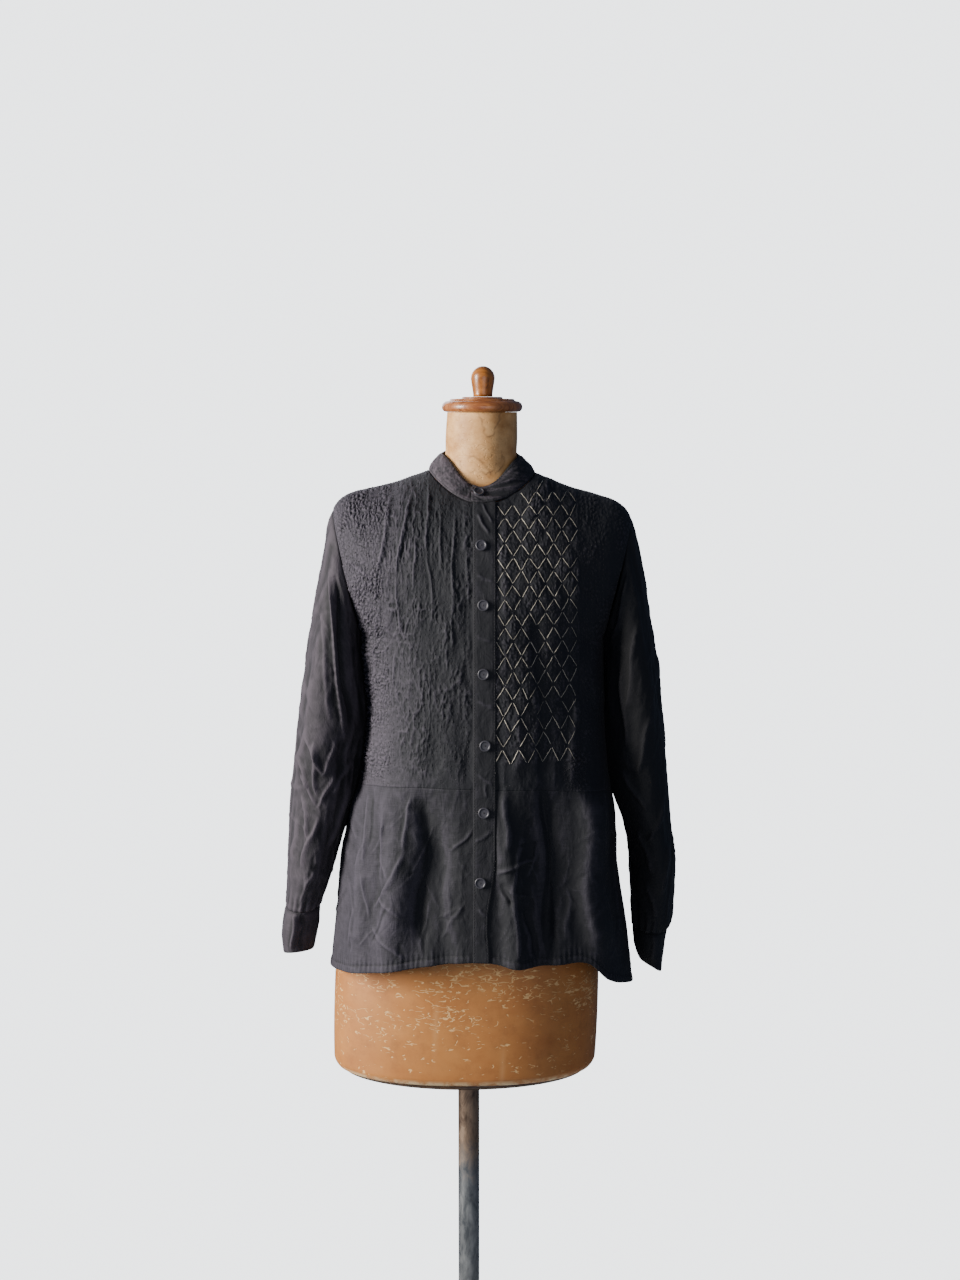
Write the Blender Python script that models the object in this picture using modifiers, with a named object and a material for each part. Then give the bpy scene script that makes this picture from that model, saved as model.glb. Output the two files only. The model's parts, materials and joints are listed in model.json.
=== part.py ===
"""An embroidered cotton blouse on a limbless dress form with a pole.

Metres, +Z up. The blouse's front faces -Y, so the wearer's right is at -X. The origin is
on the floor, on the pole's axis. The blouse is cut and sewn as the real one is: two
embroidered upper fronts, two plain lower fronts, one back, sleeves, cuffs, a stand collar
and a button band, each a thin wall that follows one surface hung from the shoulders.
"""

import collections
import math

import bmesh
import bpy
from mathutils import Matrix, Vector

# The cloth and its seams
CLOTH = 0.0016  # wall of the plain cloth
SEAM = 0.0003  # between two pieces that are sewn together
PANEL_INSET = 0.0002  # each body panel's edges, in from the seam's middle line
LAP = 0.0022  # how far the collar's right end is moved out where it lies on its left end
BAND_OUT = 0.0026  # how far the button band is moved out of the fronts it lies on

# The blouse as it hangs
BLOUSE_X = 0.017  # the blouse's centre line, beside the pole because the form leans
TILT = 0.025  # fall of every level line from the wearer's right to the left
SQUARE = 2.4  # power of the body's rings: 2 is an ellipse, more is boxier
CHEST_Z = 1.24  # where the shoulder cloth turns into the hanging rings
CHEST_STEP = 0.02  # the stretch below it that gives the cloth's direction there
WAIST_SEAM_Z = 0.980  # seam between an embroidered upper front and its plain lower front
WAIST_SIDE_DROP = 0.020  # how much lower that seam is at the side

# Neckline: where the collar is sewn on
NECK_HALF_WIDTH = 0.0665
NECK_FRONT = 0.073
NECK_BACK = 0.056
NECK_SIDE_Z = 1.357
NECK_FRONT_DROP = 0.036
NECK_BACK_RISE = 0.016
NECK_SHARE = 0.40  # share of a panel's columns that end on the neckline

# How the cloth leaves its top edge: steepness, more of it at the front, and sideways part
LEAVE_FALL = 0.15
LEAVE_NECK_FALL = 0.9
LEAVE_SIDE = 0.25

# The egg whose outside gives the body's outward direction
EGG_HALF_WIDTH = 0.160
EGG_HALF_DEPTH = 0.125
EGG_SHOULDER = 0.105

# Stand collar
COLLAR_X = 0.0155  # its top edge stands round the form's neck
COLLAR_HALF_WIDTH = 0.0488
COLLAR_FRONT = 0.053
COLLAR_BACK = 0.0505
COLLAR_SIDE_Z = 1.378
COLLAR_FRONT_DROP = 0.039
COLLAR_NOTCH = 3.2  # power of the dip of its top edge at the front
COLLAR_BACK_RISE = 0.018
COLLAR_FIRST = -8.0  # its left end, degrees round the neck from the centre front
COLLAR_LAST = 371.0  # its right end, once round and over the left end
COLLAR_LAP_FIRST = 325.0  # where it starts to move out over the left end
COLLAR_LAP_LENGTH = 22.0
COLLAR_LIFT = 0.0006  # its seam edge, up from the neckline
COLLAR_BOW = 0.0012  # swell of its middle

# Armhole: a tilted ring, from the shoulder's tip down to the underarm
ARMHOLE_OUT = 0.168  # its middle, out from the centre line
ARMHOLE_Z = 1.230
ARMHOLE_LEAN = 0.018
ARMHOLE_HALF_HEIGHT = 0.075
ARMHOLE_FRONT = 0.062
ARMHOLE_BACK = 0.066
SLEEVE_CLEAR = 0.0010  # how far the sleeve's edge stays off the body's edge

# Button band and buttons
BAND_LEFT_X = 0.0060
BAND_TOP_DROP = 0.012  # its top end, below the collar's seam
RIGHT_FRONT_START = -0.0085  # where each front begins under the band, from the centre line
LEFT_FRONT_START = -0.0073
BUTTON_RADIUS = 0.007
BUTTON_THICKNESS = 0.0028
BUTTON_RIM = 0.0017
BUTTON_DISH = 0.0009
BUTTON_EDGE = 0.0006  # chamfer of its outer edge and of its back
BUTTON_SEAT = 0.0005  # off the band
COLLAR_BUTTON_SEAT = 0.0021  # off the collar's lap

# Embroidery that stands up from the wearer's right upper front
PUCKER_HEIGHT = 0.0013
PUCKER_PITCH = 0.0155
PUCKER_WAVE = 0.0035  # how far a ridge wanders to each side
PUCKER_WAVE_LENGTH = 0.075
PUCKER_LEAN = 0.157  # breadth over which the wandering shifts by one whole wave
PUCKER_REACH = 0.125  # the ridges' outermost, from the centre line
PUCKER_CHANGE = 0.010  # breadth in which ridges turn into knots
PUCKER_LOW_Z = 1.005  # no embroidery stands up below this
PUCKER_LOW_FADE = 0.030
PUCKER_START_FADE = 0.006  # beside the band
PUCKER_SIDE_FADE = 0.14  # share of the panel's width, beside the armhole
KNOT_HEIGHT = 0.0007
KNOT_WIDTH = 0.0203  # two knots' width and two knots' height
KNOT_LENGTH = 0.0233

# Dress form
FORM_GAP = 0.0003  # between its pieces
NECK_TOP_Z = 1.4300
FORM_BOTTOM_Z = 0.6000
BOARD_THICKNESS = 0.006
BOARD_INSET = 0.004
POLE_RADIUS = 0.0136
KNOB_RADIUS = 0.0148
KNOB_HEIGHT = 0.0375
KNOB_SHIFT = 0.0008  # the knob stands beside the cap's middle
FOOT_TOP_Z = 0.061

# Shoulder seam: how far it has come down at a distance out from the centre line
ShoulderPoint = collections.namedtuple("ShoulderPoint", "out height")
SHOULDER = [
    ShoulderPoint(0.0665, 1.3570),
    ShoulderPoint(0.0840, 1.3505),
    ShoulderPoint(0.1150, 1.3395),
    ShoulderPoint(0.1460, 1.3315),
    ShoulderPoint(0.1640, 1.3260),
    ShoulderPoint(0.1780, 1.3165),
    ShoulderPoint(0.1860, 1.3050),
]

# Rings of the hanging body: half widths on the wearer's right and left, and depths
BodyRing = collections.namedtuple("BodyRing", "height right left front back")
BODY = [
    BodyRing(0.700, 0.194, 0.193, 0.148, 0.132),
    BodyRing(0.764, 0.188, 0.186, 0.144, 0.128),
    BodyRing(0.804, 0.184, 0.180, 0.142, 0.126),
    BodyRing(0.849, 0.180, 0.173, 0.139, 0.122),
    BodyRing(0.879, 0.177, 0.169, 0.137, 0.119),
    BodyRing(0.908, 0.171, 0.169, 0.136, 0.117),
    BodyRing(0.940, 0.164, 0.167, 0.134, 0.114),
    BodyRing(0.966, 0.154, 0.162, 0.133, 0.112),
    BodyRing(1.018, 0.146, 0.156, 0.131, 0.110),
    BodyRing(1.069, 0.144, 0.153, 0.129, 0.110),
    BodyRing(1.120, 0.149, 0.1515, 0.127, 0.112),
    BodyRing(1.155, 0.150, 0.150, 0.126, 0.113),
    BodyRing(1.200, 0.150, 0.150, 0.122, 0.112),
    BodyRing(1.240, 0.150, 0.150, 0.114, 0.108),
]

# Hem: its height at each angle round the body, from the centre front, wearer's right first
HemPoint = collections.namedtuple("HemPoint", "angle height")
HEM = [
    HemPoint(-180, 0.731),
    HemPoint(-150, 0.729),
    HemPoint(-120, 0.724),
    HemPoint(-90, 0.726),
    HemPoint(-62, 0.737),
    HemPoint(-42, 0.749),
    HemPoint(-22, 0.763),
    HemPoint(0, 0.770),
    HemPoint(18, 0.763),
    HemPoint(36, 0.766),
    HemPoint(46, 0.765),
    HemPoint(54, 0.742),
    HemPoint(70, 0.725),
    HemPoint(90, 0.714),
    HemPoint(120, 0.719),
    HemPoint(150, 0.727),
    HemPoint(180, 0.731),
]

# Largest folds of the body: angle round it, half width in degrees, height out of the
# surface, the heights between which the fold is there (most run on past the hem), and
# its drift in degrees a metre. FOLD_FADE is the length of each fold's soft ends.
FOLD_FADE = 0.09
Fold = collections.namedtuple("Fold", "angle half_width rise top bottom drift")
BODY_FOLDS = [
    Fold(-58, 13, 0.0060, 0.985, 0.600, 10),
    Fold(-37, 10, 0.0070, 0.975, 0.600, -18),
    Fold(-20, 9, -0.0060, 0.980, 0.620, 12),
    Fold(11, 7, 0.0070, 0.985, 0.600, 22),
    Fold(25, 9, -0.0080, 0.990, 0.620, 12),
    Fold(52, 15, 0.0090, 1.020, 0.600, 12),
    Fold(-50, 16, -0.0030, 1.200, 1.000, 0),
    Fold(44, 14, -0.0030, 1.180, 1.000, 0),
    Fold(112, 12, 0.0070, 1.080, 0.600, -20),
    Fold(132, 11, -0.0060, 1.150, 0.620, -14),
    Fold(152, 13, 0.0080, 1.120, 0.600, 12),
    Fold(-176, 14, -0.0060, 1.060, 0.620, 8),
    Fold(-156, 12, 0.0090, 1.140, 0.600, -12),
    Fold(-134, 11, -0.0060, 1.100, 0.620, 12),
    Fold(-114, 12, 0.0060, 1.020, 0.600, 16),
]

# Sleeves: each ring's outer and inner ends as seen from the front, and its half depth
SleeveRing = collections.namedtuple(
    "SleeveRing", "outer_x outer_z inner_x inner_z half_depth"
)
Station = collections.namedtuple("Station", "place value")
RIGHT_SLEEVE = [
    SleeveRing(-0.1750, 1.2900, -0.1350, 1.1480, 0.0660),
    SleeveRing(-0.1795, 1.2600, -0.1358, 1.1330, 0.0690),
    SleeveRing(-0.1870, 1.2200, -0.1342, 1.1130, 0.0720),
    SleeveRing(-0.1950, 1.1750, -0.1315, 1.0880, 0.0740),
    SleeveRing(-0.2040, 1.1180, -0.1298, 1.0580, 0.0740),
    SleeveRing(-0.2120, 1.0600, -0.1306, 1.0230, 0.0720),
    SleeveRing(-0.2185, 1.0080, -0.1350, 0.9900, 0.0700),
    SleeveRing(-0.2235, 0.9600, -0.1440, 0.9560, 0.0680),
    SleeveRing(-0.2265, 0.9120, -0.1565, 0.9120, 0.0640),
    SleeveRing(-0.2290, 0.8760, -0.1670, 0.8760, 0.0600),
    SleeveRing(-0.2300, 0.8380, -0.1790, 0.8380, 0.0550),
    SleeveRing(-0.2325, 0.8060, -0.1900, 0.8060, 0.0480),
]
LEFT_SLEEVE = [
    SleeveRing(0.2065, 1.2860, 0.1715, 1.1410, 0.0660),
    SleeveRing(0.2120, 1.2620, 0.1728, 1.1250, 0.0690),
    SleeveRing(0.2205, 1.2180, 0.1722, 1.1030, 0.0720),
    SleeveRing(0.2275, 1.1750, 0.1722, 1.0780, 0.0740),
    SleeveRing(0.2365, 1.1180, 0.1728, 1.0500, 0.0740),
    SleeveRing(0.2435, 1.0600, 0.1745, 1.0200, 0.0720),
    SleeveRing(0.2480, 1.0080, 0.1782, 0.9900, 0.0700),
    SleeveRing(0.2525, 0.9600, 0.1846, 0.9560, 0.0680),
    SleeveRing(0.2570, 0.9120, 0.1990, 0.9120, 0.0640),
    SleeveRing(0.2610, 0.8760, 0.2050, 0.8760, 0.0600),
    SleeveRing(0.2620, 0.8380, 0.2065, 0.8380, 0.0550),
    SleeveRing(0.2595, 0.7960, 0.2090, 0.7960, 0.0500),
    SleeveRing(0.2535, 0.7780, 0.2105, 0.7790, 0.0480),
]
RIGHT_CUFF = [
    SleeveRing(-0.2325, 0.8060, -0.1900, 0.8060, 0.0480),
    SleeveRing(-0.2380, 0.7820, -0.1925, 0.7820, 0.0465),
    SleeveRing(-0.2392, 0.7620, -0.1965, 0.7620, 0.0460),
    SleeveRing(-0.2372, 0.7430, -0.1992, 0.7470, 0.0455),
]
LEFT_CUFF = [
    SleeveRing(0.2535, 0.7780, 0.2105, 0.7790, 0.0480),
    SleeveRing(0.2500, 0.7580, 0.2120, 0.7620, 0.0465),
    SleeveRing(0.2478, 0.7385, 0.2150, 0.7475, 0.0460),
    SleeveRing(0.2470, 0.7180, 0.2205, 0.7320, 0.0455),
]

# Sleeve folds: place along the sleeve from 0 to 1, angle round it from its outer side with
# the front at 90 degrees, half sizes of the fold, and how far it stands out
SleeveFold = collections.namedtuple("SleeveFold", "along angle half_length half_angle rise")
RIGHT_SLEEVE_FOLDS = [
    SleeveFold(0.34, 62, 0.30, 34, 0.0060),
    SleeveFold(0.52, 118, 0.10, 50, -0.0060),
    SleeveFold(0.63, 70, 0.08, 60, -0.0050),
    SleeveFold(0.80, 100, 0.16, 34, 0.0050),
    SleeveFold(0.40, -70, 0.28, 36, 0.0060),
    SleeveFold(0.60, -110, 0.09, 55, -0.0060),
]
LEFT_SLEEVE_FOLDS = [
    SleeveFold(0.32, 70, 0.28, 36, 0.0050),
    SleeveFold(0.55, 100, 0.09, 55, -0.0050),
    SleeveFold(0.78, 80, 0.18, 36, 0.0050),
    SleeveFold(0.38, -66, 0.30, 34, 0.0060),
    SleeveFold(0.58, -105, 0.10, 50, -0.0060),
]

# Buttons: where the photograph shows each, the first on the collar
ButtonPlace = collections.namedtuple("ButtonPlace", "x height")
BUTTONS = [
    ButtonPlace(0.0125, 1.333),
    ButtonPlace(0.0160, 1.272),
    ButtonPlace(0.0185, 1.202),
    ButtonPlace(0.0185, 1.120),
    ButtonPlace(0.0205, 1.034),
    ButtonPlace(0.0193, 0.953),
    ButtonPlace(0.0150, 0.868),
]

# The band's free edge: it rolls under a little towards the hem
BandEdge = collections.namedtuple("BandEdge", "height x")
BAND_EDGE = [
    BandEdge(0.700, 0.0265),
    BandEdge(0.775, 0.0260),
    BandEdge(0.822, 0.0240),
    BandEdge(0.880, 0.0320),
    BandEdge(0.920, 0.0335),
    BandEdge(1.400, 0.0335),
]

# Dress form: rings of the body and neck
FormRing = collections.namedtuple("FormRing", "height half_width front back")
FORM = [
    FormRing(FORM_BOTTOM_Z, 0.1630, 0.1030, 0.1030),
    FormRing(0.6025, 0.1668, 0.1068, 0.1068),
    FormRing(0.6090, 0.1685, 0.1085, 0.1085),
    FormRing(0.7000, 0.1690, 0.1100, 0.1100),
    FormRing(0.7600, 0.1660, 0.1080, 0.1090),
    FormRing(0.8400, 0.1520, 0.1020, 0.1030),
    FormRing(0.9200, 0.1290, 0.0950, 0.0910),
    FormRing(0.9900, 0.1180, 0.0920, 0.0840),
    FormRing(1.0500, 0.1200, 0.0960, 0.0850),
    FormRing(1.1200, 0.1310, 0.1070, 0.0930),
    FormRing(1.1800, 0.1420, 0.1130, 0.0990),
    FormRing(1.2300, 0.1530, 0.1040, 0.0970),
    FormRing(1.2700, 0.1620, 0.0860, 0.0880),
    FormRing(1.3000, 0.1610, 0.0640, 0.0730),
    FormRing(1.3180, 0.1500, 0.0510, 0.0620),
    FormRing(1.3290, 0.1310, 0.0468, 0.0550),
    FormRing(1.3390, 0.0945, 0.0460, 0.0520),
    FormRing(1.3480, 0.0640, 0.0455, 0.0500),
    FormRing(1.3580, 0.0500, 0.0450, 0.0480),
    FormRing(1.3720, 0.0448, 0.0448, 0.0455),
    FormRing(1.4000, 0.0446, 0.0445, 0.0445),
    FormRing(NECK_TOP_Z, 0.0434, 0.0434, 0.0434),
]
FORM_LOW_X = -0.0055  # centre of the body's underside
FORM_TOP_X = 0.0172  # centre of the neck's top
FORM_TILT_Z = 0.650  # its rings turn from level to tilted above this
FORM_TILT_LENGTH = 0.300
FORM_NECK_LEVEL = 0.040  # and back to level in the neck's last stretch

# Turned pieces, from the top of the axis down their outer side. The cap's and the knob's
# heights are above their own undersides, the foot's above the floor.
Turning = collections.namedtuple("Turning", "radius height")
CAP = [
    Turning(0.0000, 0.0185),
    Turning(0.0240, 0.0185),
    Turning(0.0252, 0.0172),
    Turning(0.0252, 0.0152),
    Turning(0.0390, 0.0145),
    Turning(0.0402, 0.0132),
    Turning(0.0402, 0.0112),
    Turning(0.0470, 0.0102),
    Turning(0.0500, 0.0070),
    Turning(0.0500, 0.0036),
    Turning(0.0475, 0.0008),
    Turning(0.0440, 0.0000),
    Turning(0.0000, 0.0000),
]
KNOB_STEM = [
    Turning(0.0112, 0.0090),
    Turning(0.0118, 0.0030),
    Turning(0.0118, 0.0000),
    Turning(0.0000, 0.0000),
]
FOOT = [
    Turning(0.0000, FOOT_TOP_Z),
    Turning(0.0224, FOOT_TOP_Z),
    Turning(0.0250, 0.0580),
    Turning(0.0320, 0.0220),
    Turning(0.0400, 0.0160),
    Turning(0.1880, 0.0100),
    Turning(0.1970, 0.0070),
    Turning(0.2000, 0.0040),
    Turning(0.1970, 0.0000),
    Turning(0.0000, 0.0000),
]

# How finely the solids are cut
FRONT_COLUMNS = 18
RIDGE_COLUMNS = 28
YOKE_ROWS = 5
ARMHOLE_ROWS = 3
CHEST_ROWS = 5
SKIRT_ROWS = 8
SLEEVE_SIDES = 20
SLEEVE_RINGS = 22
CUFF_RINGS = 4
KNOB_RINGS = 6
COLLAR_COLUMNS = 28
FORM_SIDES = 28
DROP_STEP = 0.03  # search for a button's place down the fronts
DROP_TRIES = 240


def ease(share):
    """0 to 1, level at both ends."""
    share = min(max(share, 0.0), 1.0)
    return share * share * (3.0 - 2.0 * share)


def read(table, key, place, column):
    """A column of the table at a place along the key column, on a smooth curve."""
    keys = [getattr(row, key) for row in table]
    values = [getattr(row, column) for row in table]
    if keys[0] > keys[-1]:
        keys.reverse()
        values.reverse()
    if place <= keys[0]:
        return values[0]
    if place >= keys[-1]:
        return values[-1]
    at = max(i for i in range(len(keys) - 1) if keys[i] <= place)
    span = keys[at + 1] - keys[at]
    slopes = []
    for i in (at, at + 1):
        before, after = max(i - 1, 0), min(i + 1, len(keys) - 1)
        slopes.append((values[after] - values[before]) / (keys[after] - keys[before]))
    t = (place - keys[at]) / span
    return (
        (2 * t**3 - 3 * t**2 + 1) * values[at]
        + (t**3 - 2 * t**2 + t) * span * slopes[0]
        + (3 * t**2 - 2 * t**3) * values[at + 1]
        + (t**3 - t**2) * span * slopes[1]
    )


def tilted(point):
    """The level lines fall a little towards the wearer's left."""
    return Vector((point.x, point.y, point.z - TILT * (point.x - BLOUSE_X)))


def outward(point):
    """Straight out of the body's cloth, near enough for the wall's thickness."""
    direction = Vector(
        (
            (point.x - BLOUSE_X) / EGG_HALF_WIDTH**2,
            point.y / EGG_HALF_DEPTH**2,
            max(point.z - CHEST_Z, 0.0) / EGG_SHOULDER**2,
        )
    )
    return direction.normalized()


def bump(offset):
    """A round swell that is 1 in the middle and 0 from -1 and from 1 on."""
    return math.cos(offset * math.pi / 2) ** 2 if abs(offset) < 1.0 else 0.0


def angle_round(point):
    """Degrees round the body from the centre front, the wearer's right negative."""
    return math.degrees(math.atan2(point.x - BLOUSE_X, -point.y))


def fold_rise(point):
    """How far the largest folds carry the cloth out at this point."""
    angle = angle_round(point)
    rise = 0.0
    for fold in BODY_FOLDS:
        centre = fold.angle + fold.drift * (fold.top - point.z)
        off = (angle - centre + 180.0) % 360.0 - 180.0
        fade = ease((fold.top - point.z) / FOLD_FADE) * ease((point.z - fold.bottom) / FOLD_FADE)
        rise += fold.rise * fade * bump(off / fold.half_width)
    return rise


def armhole(side, face, turn):
    """The armhole's seam. side is -1 on the wearer's right, face 1 in front, and turn runs
    from 0 at the shoulder's tip to pi at the underarm."""
    depth = ARMHOLE_FRONT if face > 0 else ARMHOLE_BACK
    return Vector(
        (
            BLOUSE_X + side * (ARMHOLE_OUT + ARMHOLE_LEAN * math.cos(turn)),
            -face * depth * math.sin(turn),
            ARMHOLE_Z + ARMHOLE_HALF_HEIGHT * math.cos(turn),
        )
    )


def neckline(side, face, turn):
    """The collar's seam. turn runs from 0 at the centre front or back to pi / 2."""
    depth = NECK_FRONT if face > 0 else NECK_BACK
    rise = -NECK_FRONT_DROP if face > 0 else NECK_BACK_RISE
    return Vector(
        (
            BLOUSE_X + side * NECK_HALF_WIDTH * math.sin(turn),
            -face * depth * math.cos(turn),
            NECK_SIDE_Z + rise * math.cos(turn) ** 2,
        )
    )


def ring_point(side, face, share, height, start):
    """A point of the hanging rings. share runs from 0 at the centre to 1 at the edge."""
    depth = read(BODY, "height", height, "front" if face > 0 else "back")
    underarm = ARMHOLE_Z - ARMHOLE_HALF_HEIGHT
    if height > underarm:
        turn = math.acos((height - ARMHOLE_Z) / ARMHOLE_HALF_HEIGHT)
        edge = armhole(side, face, turn)
        out = abs(edge.x - BLOUSE_X)
        full = 1.0 - (abs(edge.y) / depth) ** SQUARE
        half_width = out / full ** (1.0 / SQUARE)
        last = math.asin((out / half_width) ** (SQUARE / 2))
    else:
        half_width = read(BODY, "height", height, "right" if side < 0 else "left")
        last = math.pi / 2
    turn = share * last
    reach = math.sin(turn) ** (2 / SQUARE)
    x = start * (1.0 - reach) + side * half_width * reach
    y = -face * depth * max(math.cos(turn), 0.0) ** (2 / SQUARE)
    return Vector((BLOUSE_X + x, y, height))


def waist_height(share):
    """The waist seam falls from the centre front to the side seam."""
    return WAIST_SEAM_Z - WAIST_SIDE_DROP * share**2


def top_edge(side, face, share, start):
    """The neckline and then the shoulder seam, and the way the cloth leaves it."""
    if share < NECK_SHARE:
        first = math.asin(side * start / NECK_HALF_WIDTH)
        turn = first + (math.pi / 2 - first) * share / NECK_SHARE
        point = neckline(side, face, turn)
        fall = LEAVE_FALL + LEAVE_NECK_FALL * math.cos(turn)
        aside = side * LEAVE_SIDE * math.sin(turn)
        return point, Vector((aside, -face, -fall)).normalized()
    along = (share - NECK_SHARE) / (1.0 - NECK_SHARE)
    out = SHOULDER[0].out + (SHOULDER[-1].out - SHOULDER[0].out) * along
    height = read(SHOULDER, "out", out, "height")
    point = Vector((BLOUSE_X + side * out, 0.0, height))
    aside = side * LEAVE_SIDE * (1.0 - along)
    return point, Vector((aside, -face, -LEAVE_FALL)).normalized()


def shoulder_point(side, face, share, drop, start):
    """A point of the smooth sweep from the top edge to the first hanging ring."""
    top, leave = top_edge(side, face, share, start)
    low = ring_point(side, face, share, CHEST_Z, start)
    under = ring_point(side, face, share, CHEST_Z - CHEST_STEP, start)
    length = (low - top).length
    arrive = (under - low).normalized()
    return (
        (2 * drop**3 - 3 * drop**2 + 1) * top
        + (drop**3 - 2 * drop**2 + drop) * length * leave
        + (3 * drop**2 - 2 * drop**3) * low
        + (drop**3 - drop**2) * length * arrive
    )


def panel_point(side, face, share, drop, start=0.0):
    """A point of the blouse's body. drop runs from 0 at the neckline or shoulder seam to 1
    at the chest, 2 at the waist seam and 3 at the hem."""
    if drop < 1.0:
        point = shoulder_point(side, face, share, drop, start)
        last = math.acos((CHEST_Z - ARMHOLE_Z) / ARMHOLE_HALF_HEIGHT)
        edge = armhole(side, face, drop * last)
        point += (edge - shoulder_point(side, face, 1.0, drop, start)) * ease(2.0 * share - 1.0)
    elif drop <= 2.0:
        height = CHEST_Z + (waist_height(share) - CHEST_Z) * (drop - 1.0)
        point = ring_point(side, face, share, height, start)
    else:
        waist = waist_height(share)
        angle = angle_round(ring_point(side, face, share, waist, start))
        hem = read(HEM, "angle", angle, "height")
        height = waist + (hem - waist) * (drop - 2.0)
        point = ring_point(side, face, share, height, start)
    return tilted(point + outward(point) * fold_rise(point))


def new_material(name, colour, roughness, metallic=0.0):
    material = bpy.data.materials.new(name)
    material.use_nodes = True
    shader = material.node_tree.nodes["Principled BSDF"]
    shader.inputs["Base Color"].default_value = (*colour, 1.0)
    shader.inputs["Roughness"].default_value = roughness
    shader.inputs["Metallic"].default_value = metallic
    return material


def new_object(name, mesh, material, collection):
    mesh.materials.append(material)
    mesh.shade_smooth()
    obj = bpy.data.objects.new(name, mesh)
    collection.objects.link(obj)
    return obj


def cloth_wall(name, outer, inner, material, collection, tube=False):
    """A thin closed wall between an outer and an inner grid of points. A tube's last
    column is joined to its first."""
    build = bmesh.new()
    sides = [[[build.verts.new(p) for p in row] for row in grid] for grid in (outer, inner)]
    rows, columns = len(outer), len(outer[0])
    steps = columns if tube else columns - 1
    for r in range(rows - 1):
        for c in range(steps):
            d = (c + 1) % columns
            for grid, turned in zip(sides, (False, True)):
                quad = [grid[r][c], grid[r + 1][c], grid[r + 1][d], grid[r][d]]
                build.faces.new(quad[::-1] if turned else quad)
    for r, turned in ((0, False), (rows - 1, True)):
        for c in range(steps):
            d = (c + 1) % columns
            quad = [sides[0][r][c], sides[0][r][d], sides[1][r][d], sides[1][r][c]]
            build.faces.new(quad[::-1] if turned else quad)
    if not tube:
        for c, turned in ((0, True), (columns - 1, False)):
            for r in range(rows - 1):
                quad = [sides[0][r][c], sides[0][r + 1][c], sides[1][r + 1][c], sides[1][r][c]]
                build.faces.new(quad if turned else quad[::-1])
    bmesh.ops.recalc_face_normals(build, faces=build.faces)
    mesh = bpy.data.meshes.new(name)
    build.to_mesh(mesh)
    build.free()
    return new_object(name, mesh, material, collection)


def spaced(first, last, steps):
    return [first + (last - first) * i / steps for i in range(steps + 1)]


def yoke_and_chest_rows():
    """The rows of an upper front, with one at the chest and one at the underarm."""
    fall = CHEST_Z - ARMHOLE_Z + ARMHOLE_HALF_HEIGHT
    underarm = 1.0 + fall / (CHEST_Z - waist_height(1.0))
    return (
        spaced(0.0, 1.0, YOKE_ROWS)
        + spaced(1.0, underarm, ARMHOLE_ROWS)[1:]
        + spaced(underarm, 2.0, CHEST_ROWS)[1:]
    )


def skirt_rows():
    return spaced(2.0, 3.0, SKIRT_ROWS)


def pucker(point, share):
    """Embroidery of the wearer's right upper front: wavy upright ridges beside the band,
    and a finer knotted ground towards the armhole. It fades out above the waist seam."""
    out = BLOUSE_X + RIGHT_FRONT_START - point.x
    whole = 2 * math.pi
    wander = PUCKER_WAVE * math.sin(whole * (point.z / PUCKER_WAVE_LENGTH + out / PUCKER_LEAN))
    ridge = 0.5 - 0.5 * math.cos(whole * (out + wander) / PUCKER_PITCH)
    knotted = ease(1.0 - (PUCKER_REACH - out) / PUCKER_CHANGE)
    knot = math.sin(whole * out / KNOT_WIDTH) * math.sin(whole * point.z / KNOT_LENGTH)
    rise = PUCKER_HEIGHT * ridge * (1.0 - knotted) + KNOT_HEIGHT * (0.5 + 0.5 * knot) * knotted
    rise *= ease((point.z - PUCKER_LOW_Z) / PUCKER_LOW_FADE)
    return rise * ease(out / PUCKER_START_FADE) * ease((1.0 - share) / PUCKER_SIDE_FADE)


def pulled_in(grid, gap):
    """Moves a panel's four edges in by half a seam, so that its neighbours stay clear."""
    rows, columns = len(grid), len(grid[0])
    moved = [[Vector(p) for p in row] for row in grid]
    for r in range(rows):
        for here, there in ((0, 1), (columns - 1, columns - 2)):
            step = grid[r][there] - grid[r][here]
            moved[r][here] += step.normalized() * gap
    for c in range(columns):
        for here, there in ((0, 1), (rows - 1, rows - 2)):
            step = grid[there][c] - grid[here][c]
            moved[here][c] += step.normalized() * gap
    return moved


def panel(name, columns, rows, material, collection, relief=None):
    """One flat-cut piece of the body. columns holds (side, face, share, start)."""
    grid = []
    for drop in rows:
        grid.append([panel_point(*column[:3], drop, column[3]) for column in columns])
    grid = pulled_in(grid, PANEL_INSET)
    inner = [[p - outward(p) * CLOTH for p in row] for row in grid]
    if relief:
        shares = [share for _, _, share, _ in columns]
        grid = [[p + outward(p) * relief(p, at) for p, at in zip(row, shares)] for row in grid]
    return cloth_wall(name, grid, inner, material, collection)


def front(side, columns):
    start = RIGHT_FRONT_START if side < 0 else LEFT_FRONT_START
    return [(side, 1, share, start) for share in spaced(0.0, 1.0, columns)]


def back():
    right = [(-1, -1, share, 0.0) for share in spaced(1.0, 0.0, FRONT_COLUMNS)]
    left = [(1, -1, share, 0.0) for share in spaced(0.0, 1.0, FRONT_COLUMNS)]
    return right + left[1:]


def surface_at_x(x, drop):
    """The fronts' surface at a given x near the centre front."""
    shares = spaced(0.0, 0.42, 21)
    points = [panel_point(-1, 1, share, drop) for share in reversed(shares)]
    points += [panel_point(1, 1, share, drop) for share in shares[1:]]
    for a, b in zip(points, points[1:]):
        if a.x <= x <= b.x:
            return a.lerp(b, (x - a.x) / (b.x - a.x))
    return points[-1]


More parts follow.
